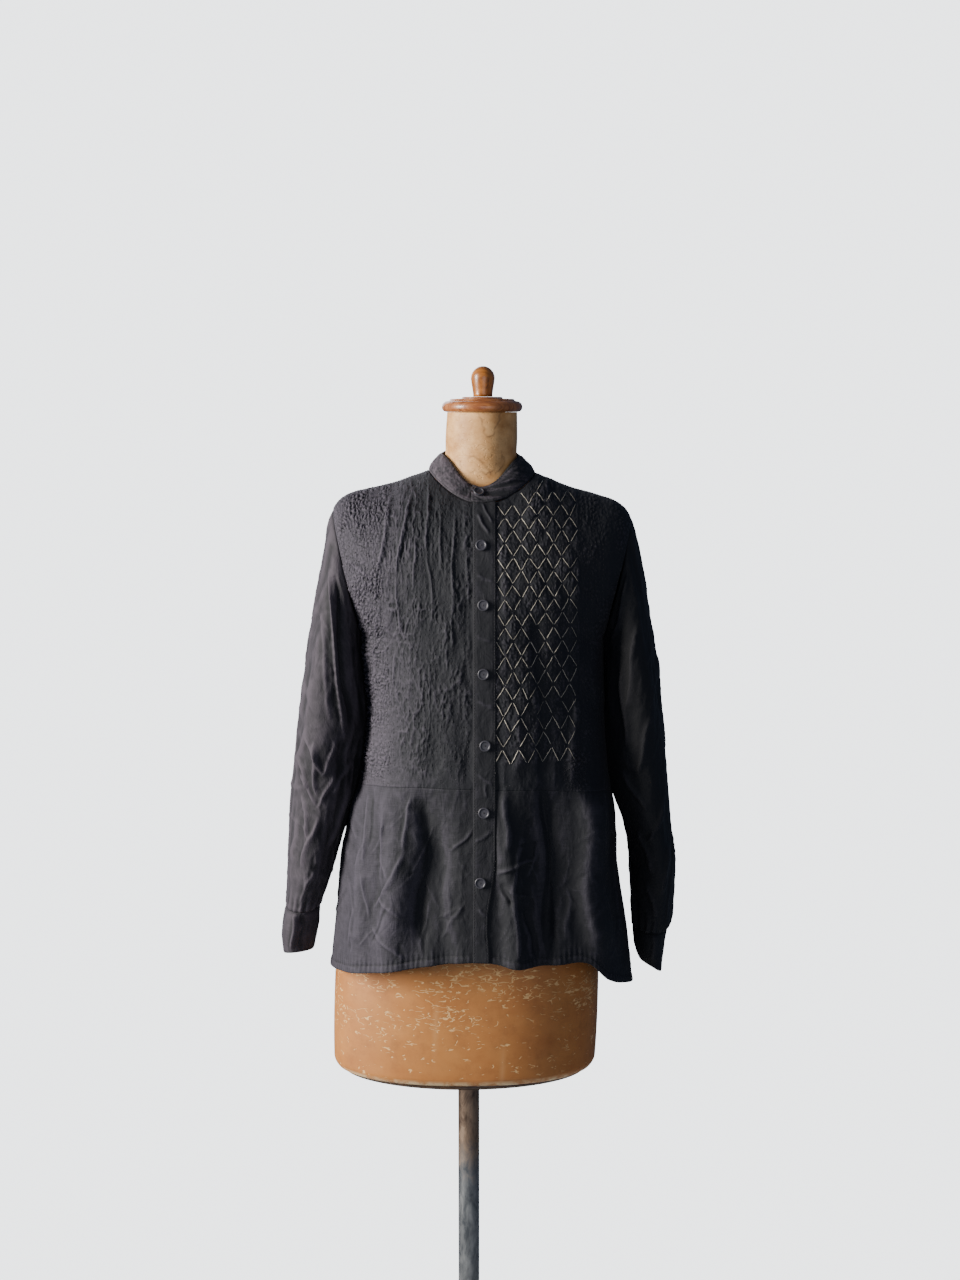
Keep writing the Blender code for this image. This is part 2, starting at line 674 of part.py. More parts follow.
def button_band(material, collection):
    rows = (
        spaced(BAND_TOP_DROP, 1.0, YOKE_ROWS)
        + spaced(1.0, 2.0, ARMHOLE_ROWS + CHEST_ROWS)[1:]
        + skirt_rows()[1:]
    )
    grid = []
    for drop in rows:
        height = surface_at_x(BLOUSE_X, drop).z
        right_x = read(BAND_EDGE, "height", height, "x")
        line = [surface_at_x(x, drop) for x in spaced(BAND_LEFT_X, right_x, 3)]
        grid.append([p + outward(p) * BAND_OUT for p in line])
    grid = pulled_in(grid, SEAM)
    inner = [[p - outward(p) * CLOTH for p in row] for row in grid]
    return cloth_wall("placket", grid, inner, material, collection)


def collar_edges(turn):
    """The collar's seam and top edge. turn runs from -pi at the centre back round the
    wearer's right to 0 at the centre front and on to pi."""
    side = -1 if turn < 0 else 1
    face = 1 if abs(turn) <= math.pi / 2 else -1
    local = abs(turn) if face > 0 else math.pi - abs(turn)
    low = neckline(side, face, local)
    depth = COLLAR_FRONT if face > 0 else COLLAR_BACK
    rise = -COLLAR_FRONT_DROP if face > 0 else COLLAR_BACK_RISE
    high = Vector(
        (
            COLLAR_X + side * COLLAR_HALF_WIDTH * math.sin(local),
            -face * depth * math.cos(local),
            COLLAR_SIDE_Z + rise * math.cos(local) ** (COLLAR_NOTCH if face > 0 else 2.0),
        )
    )
    return low, high


def collar(material, collection):
    """One strip round the neck. Its right end laps over its left end at the front."""
    grid, inner = [[] for _ in range(4)], [[] for _ in range(4)]
    for degrees in spaced(COLLAR_FIRST, COLLAR_LAST, COLLAR_COLUMNS):
        turn = math.radians((180.0 - degrees) % 360.0 - 180.0)
        low, high = collar_edges(turn)
        lapped = ease((degrees - COLLAR_LAP_FIRST) / COLLAR_LAP_LENGTH) * LAP
        across = (high - low).normalized()
        round_it = Vector((low.x - BLOUSE_X, low.y, 0.0)).normalized()
        out = (round_it - across * round_it.dot(across)).normalized()
        for row, up in enumerate(spaced(0.0, 1.0, 3)):
            point = low.lerp(high, up) + across * (COLLAR_LIFT if row == 0 else 0.0)
            bow = COLLAR_BOW * math.sin(math.pi * up)
            point = point + out * (bow + lapped)
            grid[row].append(tilted(point))
            inner[row].append(tilted(point - out * CLOTH))
    return cloth_wall("collar", grid, inner, material, collection)


def station(table, along, column):
    """A column of a sleeve's table at a place from 0 to 1 along its rows."""
    last = len(table) - 1
    rows = [Station(i / last, getattr(ring, column)) for i, ring in enumerate(table)]
    return read(rows, "place", along, "value")


def sleeve_point(table, along, turn, folds, offset):
    """A point of a sleeve or a cuff, offset out of its surface. turn runs round it from
    its outer side, through the front."""
    outer = Vector((station(table, along, "outer_x"), 0.0, station(table, along, "outer_z")))
    inner = Vector((station(table, along, "inner_x"), 0.0, station(table, along, "inner_z")))
    depth = station(table, along, "half_depth")
    middle, arm = (outer + inner) / 2, (outer - inner) / 2
    point = middle + arm * math.cos(turn) + Vector((0.0, -depth * math.sin(turn), 0.0))
    out = arm.normalized() * math.cos(turn) / arm.length
    out = (out + Vector((0.0, -math.sin(turn) / depth, 0.0))).normalized()
    rise = 0.0
    for fold in folds:
        off = (math.degrees(turn) - fold.angle + 180.0) % 360.0 - 180.0
        swell = bump(off / fold.half_angle) * bump((along - fold.along) / fold.half_length)
        rise += fold.rise * swell
    return point + out * (rise + offset)


def sleeve(name, side, table, folds, material, collection):
    """A sleeve from the armhole's seam to the cuff. Its first rings turn from the
    armhole's ring into the hanging ones."""
    clear = Vector((side * ARMHOLE_HALF_HEIGHT, 0.0, -ARMHOLE_LEAN)).normalized()
    middle = tilted(Vector((BLOUSE_X + side * ARMHOLE_OUT, 0.0, ARMHOLE_Z)))
    turns = [2 * math.pi * i / SLEEVE_SIDES for i in range(SLEEVE_SIDES)]
    seam_row, seam_inner = [], []
    for turn in turns:
        face = 1 if turn <= math.pi else -1
        local = turn if turn <= math.pi else 2 * math.pi - turn
        point = tilted(armhole(side, face, local)) + clear * SLEEVE_CLEAR
        seam_row.append(point)
        seam_inner.append(point - (point - middle).normalized() * CLOTH)
    grid, inner = [seam_row], [seam_inner]
    last_inset = SEAM / (table[-2].outer_z - table[-1].outer_z) / (len(table) - 1)
    for along in spaced(0.0, 1.0 - last_inset, SLEEVE_RINGS):
        grid.append([sleeve_point(table, along, turn, folds, 0.0) for turn in turns])
        inner.append([sleeve_point(table, along, turn, folds, -CLOTH) for turn in turns])
    return cloth_wall(name, grid, inner, material, collection, tube=True)


def cuff(name, table, material, collection):
    turns = [2 * math.pi * i / SLEEVE_SIDES for i in range(SLEEVE_SIDES)]
    rows = spaced(0.0, 1.0, CUFF_RINGS)
    grid = [[sleeve_point(table, along, turn, [], 0.0) for turn in turns] for along in rows]
    inner = [[sleeve_point(table, along, turn, [], -CLOTH) for turn in turns] for along in rows]
    return cloth_wall(name, grid, inner, material, collection, tube=True)


def turned(name, profile, steps, place, material, collection):
    """A solid of revolution. The profile runs down its outer side, from axis to axis."""
    mesh = bpy.data.meshes.new(name)
    points = [(radius, 0.0, height) for radius, height in profile]
    mesh.from_pydata(points, [(i, i + 1) for i in range(len(points) - 1)], [])
    obj = bpy.data.objects.new(name, mesh)
    collection.objects.link(obj)
    screw = obj.modifiers.new("Turn", "SCREW")
    screw.axis = "Z"
    screw.steps = steps
    screw.render_steps = steps
    screw.use_merge_vertices = True
    screw.merge_threshold = 0.00005
    screw.use_smooth_shade = True
    mesh.materials.append(material)
    obj.location = place
    return obj


def drop_at(place):
    """How far down the fronts a button's height is."""
    drops = spaced(DROP_STEP, 3.0 - DROP_STEP, DROP_TRIES)
    return min(drops, key=lambda drop: abs(surface_at_x(place.x, drop).z - place.height))


def buttons(material, collection):
    """Round buttons with a raised rim and a dished middle, flat on the band."""
    flat = BUTTON_THICKNESS - BUTTON_DISH
    rim = BUTTON_RADIUS - BUTTON_RIM
    profile = [
        (0.0, flat),
        (rim - BUTTON_DISH, flat),
        (rim, BUTTON_THICKNESS),
        (BUTTON_RADIUS - BUTTON_EDGE, BUTTON_THICKNESS),
        (BUTTON_RADIUS, BUTTON_THICKNESS - BUTTON_EDGE),
        (BUTTON_RADIUS - BUTTON_EDGE, 0.0),
        (0.0, 0.0),
    ]
    for number, place in enumerate(BUTTONS, start=1):
        if number == 1:
            low, high = collar_edges(0.0)
            middle = tilted(low.lerp(high, 0.5))
            out = Vector((0.0, -(high - low).z, (high - low).y)).normalized()
            seat = Vector((place.x, middle.y, middle.z)) + out * (LAP + COLLAR_BUTTON_SEAT)
        else:
            drop = drop_at(place)
            middle = surface_at_x(place.x, drop)
            above = surface_at_x(place.x, drop - DROP_STEP)
            below = surface_at_x(place.x, drop + DROP_STEP)
            left = surface_at_x(place.x + BUTTON_RADIUS, drop)
            right = surface_at_x(place.x - BUTTON_RADIUS, drop)
            out = (left - right).cross(above - below).normalized()
            seat = middle + outward(middle) * BAND_OUT + out * BUTTON_SEAT
        obj = turned(f"button_{number}", profile, 16, seat, material, collection)
        obj.rotation_mode = "QUATERNION"
        obj.rotation_quaternion = out.to_track_quat("Z", "Y")


def form_body(material, collection):
    """The dress form's body and neck, one closed skin lofted through its rings."""
    build = bmesh.new()
    loops = []
    for ring in FORM:
        rise = (ring.height - FORM[0].height) / (FORM[-1].height - FORM[0].height)
        centre = FORM_LOW_X + (FORM_TOP_X - FORM_LOW_X) * rise
        tilt = TILT * ease((ring.height - FORM_TILT_Z) / FORM_TILT_LENGTH)
        tilt *= ease((NECK_TOP_Z - ring.height) / FORM_NECK_LEVEL)
        loop = []
        for i in range(FORM_SIDES):
            turn = 2 * math.pi * i / FORM_SIDES
            x = ring.half_width * math.cos(turn)
            y = (ring.back if math.sin(turn) > 0 else ring.front) * math.sin(turn)
            loop.append(build.verts.new((centre + x, y, ring.height - tilt * x)))
        loops.append(loop)
    for low, high in zip(loops, loops[1:]):
        for i in range(FORM_SIDES):
            j = (i + 1) % FORM_SIDES
            build.faces.new((low[i], low[j], high[j], high[i]))
    build.faces.new(loops[0][::-1])
    build.faces.new(loops[-1])
    mesh = bpy.data.meshes.new("form_torso")
    build.to_mesh(mesh)
    build.free()
    return new_object("form_torso", mesh, material, collection)


def wooden_top(material, collection):
    """The tiered cap on the neck and the knob on the cap."""
    low = NECK_TOP_Z + FORM_GAP
    turned("neck_cap", CAP, 32, (FORM_TOP_X, 0.0, low), material, collection)
    ball = [(0.0, KNOB_HEIGHT)]
    for step in range(1, KNOB_RINGS + 1):
        turn = math.pi * step / (KNOB_RINGS + 3)
        height = KNOB_HEIGHT - KNOB_RADIUS + KNOB_RADIUS * math.cos(turn)
        ball.append((KNOB_RADIUS * math.sin(turn), height))
    place = (FORM_TOP_X + KNOB_SHIFT, 0.0, low + CAP[0].height + FORM_GAP)
    turned("knob", ball + KNOB_STEM, 20, place, material, collection)


def stand(wood, steel, iron, collection):
    """The board under the body, the pipe and the round foot."""
    board_top = FORM_BOTTOM_Z - FORM_GAP
    board_low = board_top - BOARD_THICKNESS
    middle = (board_top + board_low) / 2
    bpy.ops.mesh.primitive_cylinder_add(
        vertices=48, radius=1.0, depth=BOARD_THICKNESS, location=(FORM_LOW_X, 0.0, middle)
    )
    board = bpy.context.object
    half_width, half_depth = FORM[0].half_width - BOARD_INSET, FORM[0].front - BOARD_INSET
    board.data.transform(Matrix.Diagonal((half_width, half_depth, 1.0, 1.0)))
    hand_over(board, "bottom_board", wood, collection)
    pole_top, pole_low = board_low - FORM_GAP, FOOT_TOP_Z + FORM_GAP
    middle = (pole_top + pole_low) / 2
    bpy.ops.mesh.primitive_cylinder_add(
        vertices=32, radius=POLE_RADIUS, depth=pole_top - pole_low, location=(0.0, 0.0, middle)
    )
    hand_over(bpy.context.object, "pole", steel, collection)
    turned("base", FOOT, 40, (0.0, 0.0, 0.0), iron, collection)


def hand_over(obj, name, material, collection):
    """Names a primitive and moves it to the part's collection."""
    obj.name = name
    obj.data.name = name
    obj.data.materials.append(material)
    for holder in list(obj.users_collection):
        holder.objects.unlink(obj)
    collection.objects.link(obj)


def main():
    for obj in list(bpy.data.objects):
        bpy.data.objects.remove(obj, do_unlink=True)
    collection = bpy.data.collections.new("embroidered_blouse")
    bpy.context.scene.collection.children.link(collection)
    cloth = new_material("dark_cotton", (0.055, 0.050, 0.058), 0.85)
    embroidered = new_material("embroidered_cotton", (0.050, 0.046, 0.054), 0.9)
    horn = new_material("dark_button", (0.040, 0.038, 0.044), 0.5)
    skin = new_material("form_skin", (0.420, 0.225, 0.095), 0.6)
    wood = new_material("turned_wood", (0.330, 0.105, 0.030), 0.35)
    board = new_material("board_wood", (0.080, 0.045, 0.025), 0.6)
    steel = new_material("pipe_steel", (0.180, 0.180, 0.190), 0.45, 0.9)
    iron = new_material("foot_iron", (0.040, 0.038, 0.038), 0.6, 0.3)

    upper_rows = yoke_and_chest_rows()
    lower_rows = skirt_rows()
    right_ridged = front(-1, RIDGE_COLUMNS)
    panel("front_right_upper", right_ridged, upper_rows, embroidered, collection, pucker)
    panel("front_left_upper", front(1, FRONT_COLUMNS), upper_rows, embroidered, collection)
    panel("front_right_lower", front(-1, FRONT_COLUMNS), lower_rows, cloth, collection)
    panel("front_left_lower", front(1, FRONT_COLUMNS), lower_rows, cloth, collection)
    panel("back", back(), upper_rows + lower_rows[1:], cloth, collection)
    button_band(cloth, collection)
    collar(cloth, collection)
    sleeve("sleeve_right", -1, RIGHT_SLEEVE, RIGHT_SLEEVE_FOLDS, cloth, collection)
    sleeve("sleeve_left", 1, LEFT_SLEEVE, LEFT_SLEEVE_FOLDS, cloth, collection)
    cuff("cuff_right", RIGHT_CUFF, cloth, collection)
    cuff("cuff_left", LEFT_CUFF, cloth, collection)
    buttons(horn, collection)
    form_body(skin, collection)
    wooden_top(wood, collection)
    stand(board, steel, iron, collection)


main()
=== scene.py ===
# %% [markdown]
# # A dark embroidered blouse on a dress form
#
# The real object is a cotton blouse with a stand collar. Its upper fronts are quilted with
# dark thread, and the wearer's left front has a lattice of pale stitches. It hangs on an old
# dress form: papier-mache covered with a thin skin, a turned wooden cap, a pipe and a foot.
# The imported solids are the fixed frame. Each piece below is a finer thing of the same size
# that stands for one of them.

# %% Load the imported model
import json
import math

import bmesh
import bpy
import numpy as np
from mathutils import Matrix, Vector
from mathutils.bvhtree import BVHTree

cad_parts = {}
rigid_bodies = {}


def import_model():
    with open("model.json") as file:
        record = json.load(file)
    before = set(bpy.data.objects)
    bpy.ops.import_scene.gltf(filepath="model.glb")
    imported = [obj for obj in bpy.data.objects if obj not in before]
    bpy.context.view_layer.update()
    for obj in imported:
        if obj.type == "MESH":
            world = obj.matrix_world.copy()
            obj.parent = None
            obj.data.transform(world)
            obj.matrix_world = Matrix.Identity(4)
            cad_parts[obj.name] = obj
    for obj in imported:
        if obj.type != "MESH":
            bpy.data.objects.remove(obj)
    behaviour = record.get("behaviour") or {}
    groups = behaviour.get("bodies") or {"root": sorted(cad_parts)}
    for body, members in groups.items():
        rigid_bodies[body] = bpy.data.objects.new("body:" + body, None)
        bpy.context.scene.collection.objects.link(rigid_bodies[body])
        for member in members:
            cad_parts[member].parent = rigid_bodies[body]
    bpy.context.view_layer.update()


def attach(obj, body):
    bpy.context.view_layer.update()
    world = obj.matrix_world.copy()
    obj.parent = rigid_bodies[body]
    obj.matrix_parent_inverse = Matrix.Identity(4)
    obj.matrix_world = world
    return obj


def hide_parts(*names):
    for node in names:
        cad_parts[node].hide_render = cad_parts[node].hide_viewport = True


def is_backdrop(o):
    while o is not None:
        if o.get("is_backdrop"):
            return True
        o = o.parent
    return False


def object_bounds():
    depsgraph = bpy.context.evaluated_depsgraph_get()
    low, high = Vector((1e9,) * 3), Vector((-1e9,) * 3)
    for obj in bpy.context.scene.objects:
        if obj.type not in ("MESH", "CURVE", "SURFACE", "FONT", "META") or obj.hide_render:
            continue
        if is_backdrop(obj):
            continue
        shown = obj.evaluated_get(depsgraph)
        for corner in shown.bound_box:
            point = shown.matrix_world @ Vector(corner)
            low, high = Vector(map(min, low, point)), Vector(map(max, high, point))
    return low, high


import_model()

# %% [markdown]
# ## Camera, light and floor
#
# The photograph looks slightly down at the chest from about 2.4 m away. A window on the left
# lights the cloth from the side, so that its relief throws small shadows. One large area
# light stands for the window, a weak one in front for the room's bounce, and a weak one
# behind lifts the outline. The room is a dim blue grey, and only the camera sees its pale wall.

# %% Set the camera, the lights and the floor
PHOTO_HEIGHT_PX = 1280
FOCAL_PX = 1922
SENSOR_MM = 36.0
CAMERA_PLACE = (0.0145, -2.4, 1.44)
CAMERA_PITCH = 83.0


def to_linear(text, strength=1.0):
    """An sRGB hex colour as linear values."""
    parts = [int(text[i : i + 2], 16) / 255 for i in (1, 3, 5)]
    parts = [p / 12.92 if p <= 0.04045 else ((p + 0.055) / 1.055) ** 2.4 for p in parts]
    return (*(p * strength for p in parts), 1.0)


def add(tree, kind, inputs=None, **settings):
    """Adds a node with its settings. An input is a value or the socket that feeds it."""
    node = tree.nodes.new(kind)
    for name, value in settings.items():
        setattr(node, name, value)
    for key, value in (inputs or {}).items():
        if isinstance(value, bpy.types.NodeSocket):
            tree.links.new(value, node.inputs[key])
        else:
            node.inputs[key].default_value = value
    return node


def linked(name, data):
    """A new object with its data, linked into the scene."""
    obj = bpy.data.objects.new(name, data)
    bpy.context.scene.collection.objects.link(obj)
    return obj


camera = linked("camera", bpy.data.cameras.new("camera"))
camera.data.sensor_width = SENSOR_MM
camera.data.lens = SENSOR_MM * FOCAL_PX / PHOTO_HEIGHT_PX
camera.location = CAMERA_PLACE
camera.rotation_euler = (math.radians(CAMERA_PITCH), 0.0, 0.0)
bpy.context.scene.camera = camera


def area_light(name, place, aim, width, height, power, tint):
    light = bpy.data.lights.new(name, "AREA")
    light.shape = "RECTANGLE"
    light.size, light.size_y = width, height
    light.energy = power
    light.color = to_linear(tint)[:3]
    obj = linked(name, light)
    obj.location = place
    obj.rotation_euler = (Vector(aim) - Vector(place)).to_track_quat("-Z", "Y").to_euler()


area_light("window", (-2.45, -1.0, 1.75), (0.0, 0.0, 1.05), 0.9, 1.8, 225.0, "#fffaf3")
area_light("bounce", (0.6, -2.9, 1.3), (0.0, 0.0, 1.0), 1.8, 1.8, 22.0, "#efeef2")
area_light("behind", (-0.8, 2.4, 2.2), (0.0, 0.0, 1.1), 1.6, 1.6, 26.0, "#eef2f8")

world = bpy.data.worlds.new("studio")
world.use_nodes = True
bpy.context.scene.world = world
sky = world.node_tree
seen = add(sky, "ShaderNodeLightPath").outputs["Is Camera Ray"]
room = add(sky, "ShaderNodeBackground", {"Color": to_linear("#8fa6cc"), "Strength": 0.26})
wall = add(sky, "ShaderNodeBackground", {"Color": to_linear("#e3e6e9"), "Strength": 3.9})
both = add(sky, "ShaderNodeMixShader", {0: seen, 1: room.outputs[0], 2: wall.outputs[0]})
sky.links.new(both.outputs[0], sky.nodes["World Output"].inputs["Surface"])

FLOOR_RADIUS = 0.60
bpy.ops.mesh.primitive_circle_add(vertices=128, radius=FLOOR_RADIUS, fill_type="NGON")
floor = bpy.context.object
floor.name = "floor"
floor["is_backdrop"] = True

# %% [markdown]
# ## Cloth, thread and the other finishes
#
# Washed cotton is matt with uneven threads, a little lighter where it stands up and has rubbed. Painted light
# is mixed into its colour as well: paler towards the window on the left, darker to the right, and darker in
# its hollows as painted shade. The weave is drawn along the cut of each piece, with a UV map in metres, so
# the
# grain runs the way the cloth was cut. Real threads are 0.2 mm apart, too fine to show at
# this size, so the slubs are drawn about 1 mm wide.

# %% Make the cloth materials


def new_material(name):
    """A material, its node tree, its shader and the socket that gives the place on the object."""
    material = bpy.data.materials.new(name)
    material.use_nodes = True
    tree = material.node_tree
    where = add(tree, "ShaderNodeTexCoord").outputs["Object"]
    return material, tree, tree.nodes["Principled BSDF"], where


def scaled_noise(tree, vector, scale, detail=2.0, rough=0.5, warp=0.0):
    """Noise with one scale, or its own along each axis, given as 1 / size in metres."""
    scale = scale if isinstance(scale, tuple) else (scale, scale, scale)
    place = add(tree, "ShaderNodeMapping", {"Vector": vector, "Scale": scale})
    settings = {"Vector": place.outputs[0], "Scale": 1.0, "Detail": detail}
    settings.update({"Roughness": rough, "Distortion": warp})
    return add(tree, "ShaderNodeTexNoise", settings).outputs["Fac"]


def ramp(tree, value, low, high, low_to=0.0, high_to=1.0):
    settings = {"Value": value, "From Min": low, "From Max": high}
    settings.update({"To Min": low_to, "To Max": high_to})
    return add(tree, "ShaderNodeMapRange", settings).outputs[0]


def mixed(tree, amount, first, second):
    """Mixes two colours, each a hex text or a socket."""
    first, second = (to_linear(c) if isinstance(c, str) else c for c in (first, second))
    return add(tree, "ShaderNodeMix", {0: amount, 6: first, 7: second}, data_type="RGBA").outputs[2]


def calculated(tree, kind, first, second, clamp=False):
    return add(tree, "ShaderNodeMath", {0: first, 1: second}, operation=kind, use_clamp=clamp).outputs[0]


def add_relief(tree, shader, strength, distance, height):
    """Small relief in a finish, too fine for the mesh."""
    relief = add(tree, "ShaderNodeBump", {"Strength": strength, "Distance": distance, "Height": height})
    tree.links.new(relief.outputs[0], shader.inputs["Normal"])


def cotton(name, deep, worn, painted_light_from, painted_light_to, least, mottle, right_painted_shade=0.0):
    """Washed plain-woven cotton with a deep dye. It is lighter where it stands up, as rubbed wear, and darker
    in the hollows, as painted shade. Painted light makes it palest up to one place along X and falls to its
    least from another on, and painted shade may darken it further towards the right."""
    material, tree, shader, where = new_material(name)
    cut = add(tree, "ShaderNodeUVMap", uv_map="cut").outputs[0]
    warp_threads = scaled_noise(tree, cut, (900.0, 70.0, 1.0))
    weft_threads = scaled_noise(tree, cut, (60.0, 800.0, 1.0))
    threads = calculated(tree, "ADD", warp_threads, weft_threads)
    cloudy = scaled_noise(tree, where, 16.0, 4.0, 0.6)
    crumple = scaled_noise(tree, where, (75.0, 75.0, 45.0), 4.0, 0.55, 0.6)
    rise = add(tree, "ShaderNodeAttribute", attribute_name="rise").outputs["Fac"]
    side = add(tree, "ShaderNodeSeparateXYZ", {0: where}).outputs["X"]
    flecks = scaled_noise(tree, where, 330.0, 3.0, 0.6)
    # Painted light: the cloth is paler towards the window on the left and darker to the right.
    fade_and_painted_light = ramp(tree, side, painted_light_from, painted_light_to, 0.58, least)
    fade_and_painted_light = calculated(tree, "ADD", fade_and_painted_light, ramp(tree, cloudy, 0.3, 0.7, -0.16, 0.16))
    # Lighter on the ridges as rubbed wear, darker in the hollows as painted shade.
    fade_and_painted_light = calculated(tree, "ADD", fade_and_painted_light, ramp(tree, rise, -1.0, 1.0, -0.42, 0.46))
    fade_and_painted_light = calculated(tree, "ADD", fade_and_painted_light, ramp(tree, flecks, 0.35, 0.65, -mottle, mottle))
    fade_and_painted_light = calculated(tree, "ADD", fade_and_painted_light, ramp(tree, threads, 0.7, 1.3, -0.17, 0.17), clamp=True)
    # The worn colour goes where the cloth has rubbed and where painted light falls, the deep colour where
    # painted shade falls. Real fading, mottle and weave mix in as well.
    dyed_and_painted_light = mixed(tree, fade_and_painted_light, deep, worn)
    # Painted shade: a given share darkens the cloth towards the right, away from the window.
    dyed_and_painted_light = mixed(tree, ramp(tree, side, 0.08, 0.20, 0.0, right_painted_shade), dyed_and_painted_light, "#020308")
    tree.links.new(dyed_and_painted_light, shader.inputs["Base Color"])
    soft = add(tree, "ShaderNodeBump", {"Strength": 0.8, "Distance": 0.0022, "Height": crumple})
    fine = add(tree, "ShaderNodeBump", {"Strength": 0.5, "Distance": 0.00025, "Height": threads})
    tree.links.new(soft.outputs[0], fine.inputs["Normal"])
    tree.links.new(fine.outputs[0], shader.inputs["Normal"])
    shader.inputs["Roughness"].default_value = 0.82
    shader.inputs["Sheen Weight"].default_value = 0.02
    shader.inputs["Sheen Roughness"].default_value = 0.45
    shader.inputs["Sheen Tint"].default_value = to_linear("#a8a6b4")
    return material


def thread(name, first, second, sheen, painted_shade_span):
    """Stranded cotton thread: soft, slightly shiny, uneven in its dye. Painted shade may dull it between two
    places along X, below a height, where a fold lies, and towards the right, with patches of wear on top."""
    material, tree, shader, where = new_material(name)
    dye = scaled_noise(tree, where, 180.0, 3.0)
    wear = scaled_noise(tree, where, (28.0, 28.0, 20.0), 2.0)
    colour = mixed(tree, ramp(tree, dye, 0.35, 0.65), first, second)
    if painted_shade_span:
        # Painted shade: the thread is dulled inside the fold and towards the right, away from the window. The
        # noise adds patches of wear.
        place = add(tree, "ShaderNodeSeparateXYZ", {0: where}).outputs
        within = calculated(tree, "MULTIPLY", ramp(tree, place["X"], painted_shade_span[0], painted_shade_span[0] + 0.008),
                            ramp(tree, place["X"], painted_shade_span[1], painted_shade_span[1] - 0.008))
        within = calculated(tree, "MULTIPLY", within, ramp(tree, place["Z"], painted_shade_span[2], painted_shade_span[2] - 0.03))
        beside = ramp(tree, place["X"], 0.10, 0.14, 0.0, 0.45)
        painted_shade_and_wear = calculated(tree, "MAXIMUM", calculated(tree, "MULTIPLY", within, 0.7), beside)
        painted_shade_and_wear = calculated(tree, "ADD", painted_shade_and_wear, ramp(tree, wear, 0.4, 0.7, 0.0, 0.4), clamp=True)
        colour = mixed(tree, painted_shade_and_wear, colour, "#3a3734")
    tree.links.new(colour, shader.inputs["Base Color"])
    strands = scaled_noise(tree, where, (2200.0, 2200.0, 700.0))
    add_relief(tree, shader, 0.4, 0.0002, strands)
    shader.inputs["Roughness"].default_value = 0.6
    shader.inputs["Sheen Weight"].default_value = sheen
    shader.inputs["Sheen Roughness"].default_value = 0.4
    return material


# After the two colours come the start and end of the painted light along X, its least amount, and the mottle.
plain_cotton = cotton("washed_black_cotton", "#060810", "#3a3640", -0.11, -0.03, -0.06, 0.04)
quilted_cotton = cotton("quilted_black_cotton", "#070a12", "#433e48", -0.11, -0.04, -0.12, 0.08)
collar_cotton = cotton("mottled_black_cotton", "#0a0b12", "#4c444c", -0.05, 0.03, 0.05, 0.22)
# The sleeves' last number darkens their right side as painted shade.
sleeve_cotton = cotton("sleeve_black_cotton", "#05060c", "#3e3840", -0.19, 0.04, -0.10, 0.04, 0.75)
dark_thread = thread("dark_stranded_cotton", "#121117", "#262228", 0.05, ())
# The span is a deep fold of the left front, where the pale thread is dulled as painted shade.
pale_thread = thread("unbleached_stranded_cotton", "#8f897d", "#d8cfbd", 0.1, (0.070, 0.096, 1.125))

# %% [markdown]
# The buttons are cast resin with a satin face. The form's skin is an oiled paper skin, caramel brown, with
# pale scratches and a worn lower edge. The neck is paler and stained, and darker over its right side. The cap
# is
# varnished beech, the pipe is weathered steel and the foot is painted cast iron.

# %% Make the button, skin, wood and metal materials


def button_resin():
    material, tree, shader, where = new_material("satin_cast_resin")
    cloudy = scaled_noise(tree, where, 300.0, 3.0)
    tree.links.new(mixed(tree, cloudy, "#232329", "#403e45"), shader.inputs["Base Color"])
    shader.inputs["Roughness"].default_value = 0.42
    shader.inputs["IOR"].default_value = 1.5
    return material


